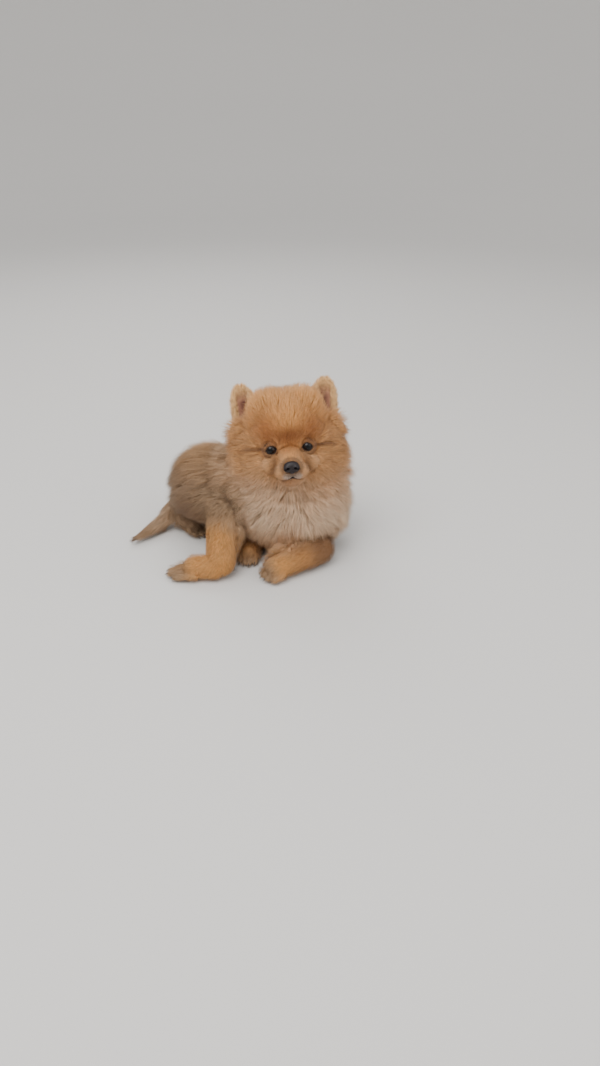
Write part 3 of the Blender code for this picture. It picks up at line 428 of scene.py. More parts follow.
@dataclass(frozen=True)
class Face:
    """Where the features of the face are, in the head's own frame, with the dog's left at +X."""

    eye: Triple = (0.0184, -0.0193, -0.0012)
    eye_radius: float = 0.0072
    lid_width: float = 0.0056
    lid_height: float = 0.0044
    lid_droop: float = math.radians(9.0)
    nose: Triple = (0.0, -0.0436, -0.0168)
    mouth: tuple[Triple, ...] = (
        (-0.0150, -0.0200, -0.0302), (-0.0125, -0.0290, -0.0304), (-0.0080, -0.0370, -0.0302),
        (-0.0040, -0.0410, -0.0293), (0.0, -0.0420, -0.0281), (0.0040, -0.0410, -0.0293),
        (0.0080, -0.0370, -0.0302), (0.0125, -0.0290, -0.0304), (0.0150, -0.0200, -0.0302),
    )
    mouth_heart: Triple = (0.0, -0.0200, -0.0285)
    ear_root: Triple = (0.0385, 0.0110, 0.0195)
    ear_tip: Triple = (0.0445, 0.0210, 0.0610)
    ear_half_width: float = 0.0120
    ear_cup: float = 0.0085

    def eye_centre(self, side: int, back: float = 0.0) -> Vector:
        """The centre of one eye, or a place straight behind it."""
        return Vector((side * self.eye[0], self.eye[1] + back, self.eye[2]))

    def lid_points(self, side: int, steps: int, lift: float) -> list[Vector]:
        """Points round the rim of one eye's lids, in the row frame.

        Args:
            side: 1 for the dog's left and -1 for its right.
            steps: how many points there are.
            lift: how far they stand off the eyeball.

        Returns:
            The points in their order round the eye.
        """
        points = []
        for step in range(steps):
            turn = 2 * math.pi * step / steps
            wide = self.lid_width * math.cos(turn)
            high = self.lid_height * math.sin(turn) * (1.0 - 0.25 * math.cos(turn) ** 4)
            across = wide * math.cos(self.lid_droop) + high * math.sin(self.lid_droop)
            up = high * math.cos(self.lid_droop) - wide * math.sin(self.lid_droop)
            deep = math.sqrt(max(0.0, self.eye_radius**2 - across**2 - up**2))
            spot = (side * (self.eye[0] + across), self.eye[1] - deep - lift, self.eye[2] + up)
            points.append(HEAD @ Vector(spot))
        return points

    def from_heart(self, spot: Vector) -> Vector:
        """The level way out from the middle of the mouth to a place on it.

        Args:
            spot: a place on the line of the mouth.

        Returns:
            The way, of length one.
        """
        out = spot - Vector(self.mouth_heart)
        out.z = 0.0
        return out.normalized()

    def off_lips(self, local: np.ndarray) -> np.ndarray:
        """Distance of places in the head's frame from the line of the mouth."""
        return np.min([off_line(local, start, end) for start, end in zip(self.mouth, self.mouth[1:])], axis=0)

    def ear_width(self, up: np.ndarray) -> np.ndarray:
        """Half the width of an ear at shares of its height.

        Args:
            up: how far up the ear, from 0 at its root to 1 at its tip.

        Returns:
            Half the width there.
        """
        height = np.clip(up, 0.0, 1.0)
        swell = 0.90 + 0.35 * height - 0.25 * height**2
        return self.ear_half_width * swell * (1 - height**3) ** 0.6 + 0.0014


FACE = Face()


def read(items: bpy.types.bpy_prop_collection, name: str, width: int, kind: type = float) -> np.ndarray:
    """Reads one property of all items of a mesh.

    Args:
        items: the items, such as points or edges.
        name: the property's name.
        width: how many numbers each item has.
        kind: the type of the numbers.

    Returns:
        The numbers, a row for each item.
    """
    values = np.empty(len(items) * width, dtype=kind)
    items.foreach_get(name, values)
    return values.reshape(-1, width) if width > 1 else values


@dataclass
class Pelage:
    """The field of the coat over the skin's points: lie, length, reach, zone and markings, with painted shade
    under the haunch and in the ears.
    """

    mesh: bpy.types.Mesh
    blur: int = 14
    lies: np.ndarray = field(init=False)
    lengths: np.ndarray = field(init=False)
    reach: np.ndarray = field(init=False)
    colours: np.ndarray = field(init=False)
    zones: np.ndarray = field(init=False)
    hollow: np.ndarray = field(init=False)
    ear: np.ndarray = field(init=False)
    inside: np.ndarray = field(init=False)
    rim: np.ndarray = field(init=False)

    def __post_init__(self) -> None:
        """Reads the guides at every point of the skin, and smooths what they give along it."""
        self.places = read(self.mesh.vertices, "co", 3)
        self.normals = read(self.mesh.vertices, "normal", 3)
        self.edges = read(self.mesh.edges, "vertices", 2, np.int32)
        self.local, self.folded = to_head(self.places), mirror(self.places)
        self.from_eye = off_centre(self.folded, FACE.eye)
        self.from_lips = FACE.off_lips(self.local)
        weights = self.weights(3.5)
        self.zones = np.array([ORDER[guide.zone] for guide in GUIDES])[weights.argmax(axis=1)]
        self.lies = self.smooth(weights @ unit(np.array([guide.lie for guide in GUIDES])))
        self.lengths = self.smooth(weights @ np.array([guide.length for guide in GUIDES]) / 1000.0)
        self.colours = self.smooth(self.weights(3.0) @ np.array([guide.tone.linear() for guide in GUIDES]))
        self.head = smooth_step(0.056, 0.038, off_centre(self.local, (0.0, -0.010, 0.005)))
        self.reach = self.smooth(self.to_outline())
        self.reach += 0.0022 * smooth_step(0.012, 0.030, self.local[:, 2]) * self.head
        self.find_hollows()
        self.shape_face()
        self.shape_ears()
        self.lies = unit(self.lies - self.normals * (self.lies * self.normals).sum(axis=1, keepdims=True))
        self.mark()

    def weights(self, power: float) -> np.ndarray:
        """How much each guide counts at each point.

        Args:
            power: how fast a guide's weight falls with distance.

        Returns:
            A row for each point and a column for each guide, with a sum of 1 in each row.
        """
        spots = np.array([guide.place for guide in GUIDES]) / 1000.0
        gaps = np.linalg.norm(self.places[:, None, :] - spots[None, :, :], axis=2)
        shares = 1.0 / (gaps**power + 1e-12)
        return shares / shares.sum(axis=1, keepdims=True)

    def smooth(self, values: np.ndarray) -> np.ndarray:
        """Averages values with their neighbours' along the skin, a few times.

        Args:
            values: one value or row for each point of the skin.

        Returns:
            The values after it, in the same form.
        """
        table = values.reshape(len(values), -1).astype(float)
        ends = np.concatenate([self.edges[:, 0], self.edges[:, 1]])
        others = np.concatenate([self.edges[:, 1], self.edges[:, 0]])
        counts = np.maximum(np.bincount(ends, minlength=len(table)), 1)
        for _ in range(self.blur):
            sums = [np.bincount(ends, column[others], minlength=len(table)) for column in table.T]
            table = 0.4 * table + 0.6 * np.stack(sums, axis=1) / counts[:, None]
        return table.reshape(values.shape)

    def to_outline(self) -> np.ndarray:
        """How far the coat's outline stands off the skin.

        Returns:
            The distance along each point's normal, or 0 on the legs and tail.
        """
        furthest = np.zeros(len(self.places))
        for masses, inverse in (((*TRUNK, NAPE), np.eye(4)), (HEAD_MASSES, HEAD_INVERSE)):
            places = self.places @ inverse[:3, :3].T + inverse[:3, 3]
            normals = self.normals @ inverse[:3, :3].T
            for mass in masses:
                radii = np.array(mass.coat_radii)
                start = (places - np.array(mass.coat_centre)) / radii
                step = normals / radii
                a = (step * step).sum(axis=1)
                b = 2 * (start * step).sum(axis=1)
                inner = b * b - 4 * a * ((start * start).sum(axis=1) - 1.0)
                out = np.where(inner > 0, (-b + np.sqrt(np.maximum(inner, 0.0))) / (2 * a), 0.0)
                furthest = np.maximum(furthest, out)
        return furthest

    def find_hollows(self) -> None:
        """Marks the creases of the skin and the flats below the eyes, where hair stands up more."""
        sunk = ((self.smooth(self.places) - self.places) * self.normals).sum(axis=1)
        creases = smooth_step(0.0001, 0.0006, sunk) * smooth_step(0.0100, 0.0130, self.from_eye)
        under = off_centre(self.folded, (0.0225, -0.0270, -0.0140))
        flats = smooth_step(0.0120, 0.0060, under) * smooth_step(0.0085, 0.0115, self.from_eye)
        self.hollow = np.maximum(creases, flats)

    def to_row(self, ways: np.ndarray) -> np.ndarray:
        """Turns directions on the head's left into the row frame, each on its own side of the head."""
        ways[:, 0] *= np.sign(self.local[:, 0])
        return ways @ np.array(HEAD_TURN)[:3, :3].T

    def shape_face(self) -> None:
        """Shortens the hair round the eyes and on the muzzle, and turns it away from each eye."""
        self.lengths = np.minimum(self.lengths, 0.0024 + 1.1 * np.maximum(self.from_eye - 0.0076, 0.0))
        out = np.hypot(self.folded[:, 0], self.folded[:, 2] + 0.0190)
        muzzle = 0.0042 + 0.70 * np.maximum(self.folded[:, 1] + 0.0300, 0.0)
        muzzle += 0.70 * np.maximum(out - 0.0125, 0.0)
        muzzle += 0.0300 * smooth_step(-0.002, 0.008, self.local[:, 2])
        self.lengths = np.minimum(self.lengths, muzzle)
        away = unit((self.folded - np.array(FACE.eye)) * np.array([1.0, 0.3, 1.0]))
        near = 0.70 * smooth_step(0.0125, 0.0080, self.from_eye)[:, None]
        self.lies = unit(self.lies) * (1 - near) + self.to_row(away) * near

    def shape_ears(self) -> None:
        """Sets the share of ear and of its hollow, and the fringes round it."""
        root, tip = np.array(FACE.ear_root), np.array(FACE.ear_tip)
        along = tip - root
        up = (self.folded - root) @ along / (along @ along)
        middle = root + np.clip(up, 0.0, 1.0)[:, None] * along
        aside = (self.folded - middle)[:, 0] / FACE.ear_width(up)
        self.ear = smooth_step(0.0185, 0.0150, off_line(self.folded, FACE.ear_root, tip + along * 0.1))
        self.ear *= smooth_step(0.02, 0.20, up)
        facing = (self.normals @ HEAD_INVERSE[:3, :3].T)[:, 1]
        rim = np.maximum(np.abs(aside), 1.15 * up - 0.25)
        self.inside = smooth_step(-0.10, -0.45, facing) * smooth_step(0.80, 0.46, rim) * self.ear
        self.rim = smooth_step(0.30, 0.75, rim) * smooth_step(0.55, 0.10, facing) * self.ear
        way = np.repeat(along[None, :] / np.linalg.norm(along), len(self.local), axis=0)
        way[:, 0] += 0.30 * np.clip(aside, -1.0, 1.0)
        medial = smooth_step(-0.25, -0.75, aside) * smooth_step(0.75, 0.45, up)
        way += medial[:, None] * np.array([1.3, -0.5, -0.35])
        share = self.ear[:, None]
        self.lies = unit(unit(self.lies) * (1 - share) + self.to_row(unit(way)) * share)
        fringe = 0.0070 - 0.0036 * self.inside + 0.0050 * medial - 0.0015 * smooth_step(0.75, 0.95, up)
        self.lengths = self.lengths * (1 - self.ear) + fringe * self.ear
        self.zones = np.where(self.ear > 0.5, ORDER[Zone.EAR], self.zones)

    def mark(self) -> None:
        """Adds the markings of the face and ears, and painted shade in the middle of each ear's hollow, one
        tint over another.
        """
        flat = self.folded * np.array([1.0, 0.0, 1.0])
        front = smooth_step(-0.004, -0.012, self.local[:, 1])
        brow = np.exp(-((self.local[:, 0] / 0.017) ** 2 + ((self.local[:, 2] - 0.009) / 0.007) ** 2))
        over = off_centre(self.folded, (0.0155, -0.0230, 0.0105), (0.006, 0.02, 0.006))
        corner = off_line(flat, (0.0240, 0.0, -0.0012), (0.0390, 0.0, -0.0016))
        tear = off_line(flat, (0.0128, 0.0, -0.0065), (0.0150, 0.0, -0.0200))
        lip = off_centre(self.folded, (0.0034, -0.0420, -0.0250), (0.0052, 0.008, 0.0034))
        nose = off_centre(self.local, FACE.nose, (0.0102, 0.008, 0.0080))
        deep = off_line(flat, (0.0375, 0.0, 0.0310), (0.0400, 0.0, 0.0430))
        for tone, share in (
            (Tone.RUSSET, 0.80 * brow * front),
            (Tone.RUSSET, 0.10 * smooth_step(1.2, 0.3, over) * front),
            (Tone.TEAR, 0.55 * smooth_step(0.0100, 0.0080, self.from_eye) * front),
            (Tone.TEAR, 0.80 * smooth_step(0.0022, 0.0006, corner) * front),
            (Tone.TEAR, 0.60 * smooth_step(0.0034, 0.0010, tear) * front),
            (Tone.FROST, 0.75 * smooth_step(1.25, 0.60, lip) * front),
            (Tone.SOOT, 0.60 * smooth_step(1.15, 0.95, nose)),
            (Tone.SOOT, 0.70 * smooth_step(0.0026, 0.0012, self.from_lips)),
            (Tone.GOLD, 0.60 * self.ear),
            (Tone.EAR_CREAM, 0.85 * self.rim),
            (Tone.EAR_PINK, 0.90 * self.inside),
            # Painted shade, darkest along the middle of the ear's hollow.
            (Tone.EAR_HOLLOW_SHADE, 0.85 * self.inside * smooth_step(0.0090, 0.0030, deep)),
        ):
            self.colours += (tone.linear() - self.colours) * np.clip(share, 0.0, 1.0)[:, None]


@dataclass
class Surface:
    """A new material with its main shader, and short ways to add nodes to it and join them."""

    name: str
    material: Material = field(init=False)
    tree: bpy.types.NodeTree = field(init=False)
    shader: bpy.types.Node = field(init=False)

    def __post_init__(self) -> None:
        """Makes the material."""
        self.material = bpy.data.materials.new(self.name)
        self.material.use_nodes = True
        self.tree = self.material.node_tree
        self.shader = self.tree.nodes["Principled BSDF"]

    def node(self, kind: str, **values: float) -> bpy.types.Node:
        """Adds a node and sets inputs of it by their names.

        Args:
            kind: the node's type, without the words before it.
            values: inputs and their values.

        Returns:
            The node.
        """
        made = self.tree.nodes.new("ShaderNode" + kind)
        for name, value in values.items():
            made.inputs[name].default_value = value
        return made

    def link(self, source: bpy.types.Node, out: str, target: bpy.types.Node, into: str | int) -> None:
        """Joins an output of one node to an input of another."""
        self.tree.links.new(source.outputs[out], target.inputs[into])

    def gloss(self, roughness: float, shine: float) -> None:
        """Sets how rough the surface is and how strongly it shines."""
        self.shader.inputs["Roughness"].default_value = roughness
        self.shader.inputs["Specular IOR Level"].default_value = shine

    def markings(self) -> None:
        """Takes the colour from the markings and painted shade held in the mesh."""
        colour = self.node("VertexColor")
        colour.layer_name = COLOUR_NAME
        self.link(colour, "Color", self.shader, "Base Color")

    def bump(self, grain: bpy.types.Node, out: str, depth: float, strength: float) -> None:
        """Raises a grain on the surface.

        Args:
            grain: the node that makes the grain.
            out: its output that holds the height.
            depth: how deep the grain is.
            strength: how much of it shows, from 0 to 1.
        """
        raised = self.node("Bump", Distance=depth, Strength=strength)
        self.link(self.node("TexCoord"), "Object", grain, "Vector")
        self.link(grain, out, raised, "Height")
        self.link(raised, "Normal", self.shader, "Normal")


@dataclass(frozen=True)
class CoatFinish:
    """Hair: the markings and painted shade held in the mesh, with a faint sheen."""

    name: str = "coat_hair"
    roughness: float = 0.60
    shine: float = 0.25
    sheen: float = 0.05

    def build(self) -> Material:
        """Makes the material.

        Returns:
            The material.
        """
        made = Surface(self.name)
        made.markings()
        made.gloss(self.roughness, self.shine)
        made.shader.inputs["Sheen Weight"].default_value = self.sheen
        return made.material


@dataclass(frozen=True)
class SkinFinish:
    """Skin under the coat: the markings and painted shade held in the mesh, with the grain of short flat
    hair.
    """

    name: str = "skin_short_hair"
    roughness: float = 0.75
    shine: float = 0.2
    grain: float = 900.0
    detail: float = 3.0
    depth: float = 0.0006
    strength: float = 0.6

    def build(self) -> Material:
        """Makes the material.

        Returns:
            The material.
        """
        made = Surface(self.name)
        made.markings()
        noise = made.node("TexNoise", Scale=self.grain, Detail=self.detail)
        made.bump(noise, "Fac", self.depth, self.strength)
        made.gloss(self.roughness, self.shine)
        return made.material


@dataclass(frozen=True)
class EyeFinish:
    """A wet dark brown eye with its pupil, by distance from the middle of the cornea."""

    name: str = "eye_wet"
    pupil: Triple = (0.002, 0.002, 0.002)
    iris: Triple = (0.014, 0.007, 0.005)
    outer_iris: Triple = (0.008, 0.005, 0.004)
    rim: Triple = (0.003, 0.002, 0.002)
    stops: tuple[float, ...] = (0.0, 0.34, 0.42, 0.70, 0.82)
    roughness: float = 0.05
    shine: float = 0.25

    def build(self) -> Material:
        """Makes the material.

        Returns:
            The material.
        """
        made = Surface(self.name)
        place, ramp = made.node("TexCoord"), made.node("ValToRGB")
        flat, size, share = made.node("VectorMath"), made.node("VectorMath"), made.node("Math")
        flat.operation, size.operation, share.operation = "MULTIPLY", "LENGTH", "DIVIDE"
        flat.inputs[1].default_value = (1.0, 0.0, 1.0)
        share.inputs[1].default_value = FACE.eye_radius
        colours = (self.pupil, self.pupil, self.iris, self.outer_iris, self.rim)
        elements = ramp.color_ramp.elements
        while len(elements) < len(colours):
            elements.new(0.5)
        for element, position, colour in zip(elements, self.stops, colours):
            element.position = position
            element.color = (*colour, 1.0)
        made.link(place, "Object", flat, 0)
        made.link(flat, "Vector", size, 0)
        made.link(size, "Value", share, 0)
        made.link(share, "Value", ramp, "Fac")
        made.link(ramp, "Color", made.shader, "Base Color")
        made.gloss(self.roughness, self.shine)
        return made.material


@dataclass(frozen=True)
class GrainFinish:
    """A plain leathery or horny surface with a pebbled grain."""

    name: str
    colour: Triple
    roughness: float
    grain: float
    depth: float
    shine: float = 0.5
    strength: float = 0.5

    def build(self) -> Material:
        """Makes the material.

        Returns:
            The material.
        """
        made = Surface(self.name)
        made.bump(made.node("TexVoronoi", Scale=self.grain), "Distance", self.depth, self.strength)
        made.shader.inputs["Base Color"].default_value = (*self.colour, 1.0)
        made.gloss(self.roughness, self.shine)
        return made.material


def to_scene(name: str, data: bpy.types.ID) -> Object:
    """Puts a new object that holds some data into the scene."""
    made = bpy.data.objects.new(name, data)
    bpy.context.scene.collection.objects.link(made)
    return made


def mesh_object(name: str, shape: Shape) -> Object:
    """An object that holds a bmesh.

    Args:
        name: the object's name.
        shape: the bmesh, which is freed.

    Returns:
        The object.
    """
    mesh = bpy.data.meshes.new(name)
    shape.to_mesh(mesh)
    shape.free()
    return to_scene(name, mesh)


def shown_mesh(obj: Object) -> bpy.types.Mesh:
    """A mesh of what an object shows, with its modifiers in it."""
    bpy.context.view_layer.update()
    return bpy.data.meshes.new_from_object(obj.evaluated_get(bpy.context.evaluated_depsgraph_get()))


def settle(obj: Object) -> Object:
    """Applies an object's modifiers to its own mesh.

    Args:
        obj: the object.

    Returns:
        The same object.
    """
    mesh = shown_mesh(obj)
    obj.modifiers.clear()
    obj.data = mesh
    return obj


def add_ball(shape: Shape, where: Triple, radii: Triple, frame_of: Matrix, segments: int = 28) -> None:
    """Adds an ellipsoid to a bmesh.

    Args:
        shape: the bmesh.
        where: its centre.
        radii: its half sizes.
        frame_of: the frame that both are in.
        segments: how many faces it has round it.
    """
    place = frame_of @ Matrix.Translation(Vector(where)) @ Matrix.Diagonal((*radii, 1.0))
    rings = segments // 2 + 2
    bmesh.ops.create_uvsphere(shape, u_segments=segments, v_segments=rings, radius=1.0, matrix=place)


def add_limb(shape: Shape, stations: Stations, frame_of: Matrix, shrink: float = 0.0) -> None:
    """Adds a round limb through stations: a ball at each and a cone between two.

    Args:
        shape: the bmesh.
        stations: points along the middle of the limb, each with its radius.
        frame_of: the frame that they are in.
        shrink: how much smaller the radii are made.
    """
    for (start, thick), (end, thin) in zip(stations, stations[1:]):
        along = Vector(end) - Vector(start)
        turn = along.to_track_quat("Z", "Y").to_matrix().to_4x4()
        place = frame_of @ Matrix.Translation((Vector(start) + Vector(end)) / 2) @ turn
        bmesh.ops.create_cone(
            shape, cap_ends=True, segments=24, radius1=thick - shrink, radius2=thin - shrink,
            depth=along.length, matrix=place,
        )
    for point, radius in stations:
        add_ball(shape, point, (radius - shrink,) * 3, frame_of, 24)


def add_tube(shape: Shape, rings: list[list[Vector]]) -> None:
    """Adds a closed tube with flat ends through rings of points.

    Args:
        shape: the bmesh.
        rings: the rings in their order, all with as many points.
    """
    rows = [[shape.verts.new(spot) for spot in ring] for ring in rings]
    for row, after in zip(rows, rows[1:]):
        for here in range(len(row)):
            there = (here + 1) % len(row)
            shape.faces.new((row[here], row[there], after[there], after[here]))
    shape.faces.new(list(reversed(rows[0])))
    shape.faces.new(rows[-1])


def fuse(obj: Object, voxel: float, smoothing: int, triangles: int) -> Object:
    """Fuses overlapping forms into one smooth closed skin.

    Args:
        obj: the object that holds the forms.
        voxel: the size of the grid that they are fused on.
        smoothing: how many times the skin is smoothed.
        triangles: about how many triangles are kept.

    Returns:
        The same object.
    """
    remesh = obj.modifiers.new("Fuse", "REMESH")
    remesh.mode = "VOXEL"
    remesh.voxel_size = voxel
    smooth = obj.modifiers.new("Smooth", "SMOOTH")
    smooth.factor = 0.5
    smooth.iterations = smoothing
    settle(obj)
    have = sum(len(face.vertices) - 2 for face in obj.data.polygons)
    thin = obj.modifiers.new("Thin", "DECIMATE")
    thin.ratio = min(1.0, triangles / have)
    return settle(obj)


def cut(obj: Object, cutter: Object) -> None:
    """Cuts one closed mesh out of another and removes the cutter.

    Args:
        obj: the object that is cut.
        cutter: the form that is taken out of it.
    """
    step = obj.modifiers.new("Cut", "BOOLEAN")
    step.operation = "DIFFERENCE"
    step.solver = "MANIFOLD"
    step.object = cutter
    settle(obj)
    bpy.data.objects.remove(cutter)


def cord(name: str, points: list[Vector], radii: list[float], closed: bool) -> Object:
    """A smooth round cord along points.

    Args:
        name: the name of the cord's object.
        points: the points along its middle.
        radii: its radius at each of them.
        closed: whether its ends meet.

    Returns:
        The cord as a mesh object.
    """
    curve = bpy.data.curves.new(name, "CURVE")
    curve.dimensions = "3D"
    curve.bevel_depth = 1.0
    curve.bevel_resolution = 3
    curve.use_fill_caps = not closed
    spline = curve.splines.new("POLY")
    spline.points.add(len(points) - 1)
    spline.use_cyclic_u = closed
    for spot, point, radius in zip(spline.points, points, radii):
        spot.co = (*point, 1.0)
        spot.radius = radius
    line = to_scene(name + "_line", curve)
    mesh = shown_mesh(line)
    bpy.data.objects.remove(line)
    return to_scene(name, mesh)


def dress(obj: Object, material: Material) -> None:
    """Shades an object smooth and gives all its faces one material.

    Args:
        obj: the object.
        material: its material.
    """
    count = len(obj.data.polygons)
    obj.data.materials.clear()
    obj.data.materials.append(material)
    obj.data.polygons.foreach_set("material_index", np.zeros(count, dtype=np.int32))
    obj.data.polygons.foreach_set("use_smooth", np.ones(count, dtype=bool))


def finish_piece(obj: Object, material: Material) -> Object:
    """Dresses a finished piece, and names its body.

    Args:
        obj: the piece.
        material: its finish.

    Returns:
        The same piece.
    """
    dress(obj, material)
    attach(obj, "root")
    log.info("%s: %d faces", obj.name, len(obj.data.polygons))
    return obj


def unwrap(obj: Object) -> None:
    """Unwraps an object's own shape onto the map that the coat's colours use.

    Args:
        obj: the object.
    """
    while obj.data.uv_layers:
        obj.data.uv_layers.remove(obj.data.uv_layers[0])
    obj.data.uv_layers.new(name=MAP_NAME)
    bpy.ops.object.select_all(action="DESELECT")
    bpy.context.view_layer.objects.active = obj
    obj.select_set(True)
    bpy.ops.object.mode_set(mode="EDIT")
    bpy.ops.mesh.select_all(action="SELECT")
    bpy.ops.uv.smart_project(angle_limit=math.radians(66.0), island_margin=0.004)
    bpy.ops.object.mode_set(mode="OBJECT")


def store_colours(mesh: bpy.types.Mesh, colours: np.ndarray) -> None:
    """Stores a colour at every point of a mesh.

    Args:
        mesh: the mesh.
        colours: a row for each of its points, in linear light.
    """
    layer = mesh.color_attributes.new(COLOUR_NAME, "FLOAT_COLOR", "POINT")
    padded = np.ones((len(colours), 4), dtype=np.float32)
    padded[:, :3] = np.clip(colours, 0.0, 1.0)
    layer.data.foreach_set("color", padded.ravel())


@dataclass
class Skin:
    """The one skin of the whole body, which lies inside the coat, with ears, lids, lips and toes."""

    voxel: float = 0.0011
    triangles: int = 90000
    quick_triangles: int = 20000
    ear_thickness: float = 0.0026
    orbit: float = 0.0087
    orbit_back: float = 0.0034
    lid_radius: float = 0.0019
    lid_sink: float = 0.0007
    lip_gap: float = 0.0009
    floor: float = 0.0002
    long_tone: float = 0.95
    short_tone: float = 0.80

    def build(self) -> Object:
        """Fuses the masses, limbs and ears, and cuts the eye sockets and the mouth.

        Returns:
            The skin.
        """
        shape = bmesh.new()
        for masses, frame_of in ((TRUNK, ROW), (HEAD_MASSES, HEAD)):
            for mass in masses:
                add_ball(shape, *mass.between(SKIN_SHARE), frame_of)
        add_limb(shape, MUZZLE, HEAD)
        for limb in LIMBS.values():
            add_limb(shape, limb.stations, ROW, limb.depth)
            for root, tip, _, thick in limb.toe_lines():
                add_limb(shape, ((root, thick), (tip, thick * 0.94)), ROW, limb.depth * 0.55)
        for side in SIDES:
            add_ball(shape, FACE.eye_centre(side, self.orbit_back), (self.orbit,) * 3, HEAD, 40)
        for part in [self.ear(side) for side in SIDES] + [self.lid(side) for side in SIDES]:
            shape.from_mesh(part.data)
            bpy.data.objects.remove(part)
        skin = mesh_object("skin", shape)
        fuse(skin, self.voxel, 4, self.triangles)
        for side in SIDES:
            socket = bmesh.new()
            add_ball(socket, FACE.eye_centre(side), (FACE.eye_radius + 0.0001,) * 3, HEAD, 48)
            cut(skin, mesh_object("socket", socket))
        cut(skin, self.mouth_slab())
        self.trim_floor(skin.data)
        unwrap(skin)
        return skin

    def ear(self, side: int) -> Object:
        """One ear as a thickened cup with a rounded tip.

        Args:
            side: 1 for the dog's left and -1 for its right.

        Returns:
            The ear.
        """
        shape = bmesh.new()
        bmesh.ops.create_grid(shape, x_segments=20, y_segments=24, size=1.0)
        root = Vector(FACE.ear_root)
        axis = Vector(FACE.ear_tip) - root
        for spot in shape.verts:
            across, up = spot.co.x, (spot.co.y + 1) / 2
            curl = FACE.ear_cup * (1 - 0.65 * up)
            outward = float(FACE.ear_width(up)) * across
            forward = -curl * across * across + curl * 0.4
            spot.co = root + axis * up + Vector((outward, forward, -0.25 * outward * (1 - up)))
            spot.co.x *= side
        if side < 0:
            bmesh.ops.reverse_faces(shape, faces=shape.faces)
        shape.transform(HEAD)
        made = mesh_object("ear_part", shape)
        shell = made.modifiers.new("Leather", "SOLIDIFY")
        shell.thickness = self.ear_thickness
        shell.offset = 0.0
        return settle(made)

    def lid(self, side: int) -> Object:
        """The soft fold of skin round one eye."""
        points = FACE.lid_points(side, 28, -self.lid_sink)
        return cord("lid_part", points, [self.lid_radius] * len(points), closed=True)

    def mouth_slab(self) -> Object:
        """A thin curved slab along the line of the mouth, wider outside than inside.

        Returns:
            The slab.
        """
        rings = []
        for point in FACE.mouth:
            spot, out = Vector(point), FACE.from_heart(Vector(point))
            rings.append([
                HEAD @ (spot + out * far + UP * (self.lip_gap * side))
                for far, side in ((0.004, 0.5), (0.004, -0.5), (-0.0035, -0.3), (-0.0035, 0.3))
            ])
        shape = bmesh.new()
        add_tube(shape, rings)
        bmesh.ops.recalc_face_normals(shape, faces=shape.faces)
        return mesh_object("mouth_slab", shape)

    def trim_floor(self, mesh: bpy.types.Mesh) -> None:
        """Flattens whatever reaches below the floor.

        Args:
            mesh: the skin's mesh.
        """
        spots = read(mesh.vertices, "co", 3)
        spots[:, 2] = np.maximum(spots[:, 2], self.floor)
        mesh.vertices.foreach_set("co", spots.ravel())
        mesh.update()

    def paint(self, pelage: Pelage) -> None:
        """Stores the markings and painted shade in the mesh, with dark lips and eye rims.

        Args:
            pelage: the field of the coat over the skin.
        """
        lips = smooth_step(0.0022, 0.0012, pelage.from_lips)
        dark = np.maximum(lips, smooth_step(0.0086, 0.0078, pelage.from_eye))
        short = smooth_step(0.014, 0.006, pelage.lengths)[:, None]
        colours = pelage.colours * (self.long_tone + (self.short_tone - self.long_tone) * short)
        colours += (Tone.LID.linear() - colours) * dark[:, None]
        store_colours(pelage.mesh, colours)


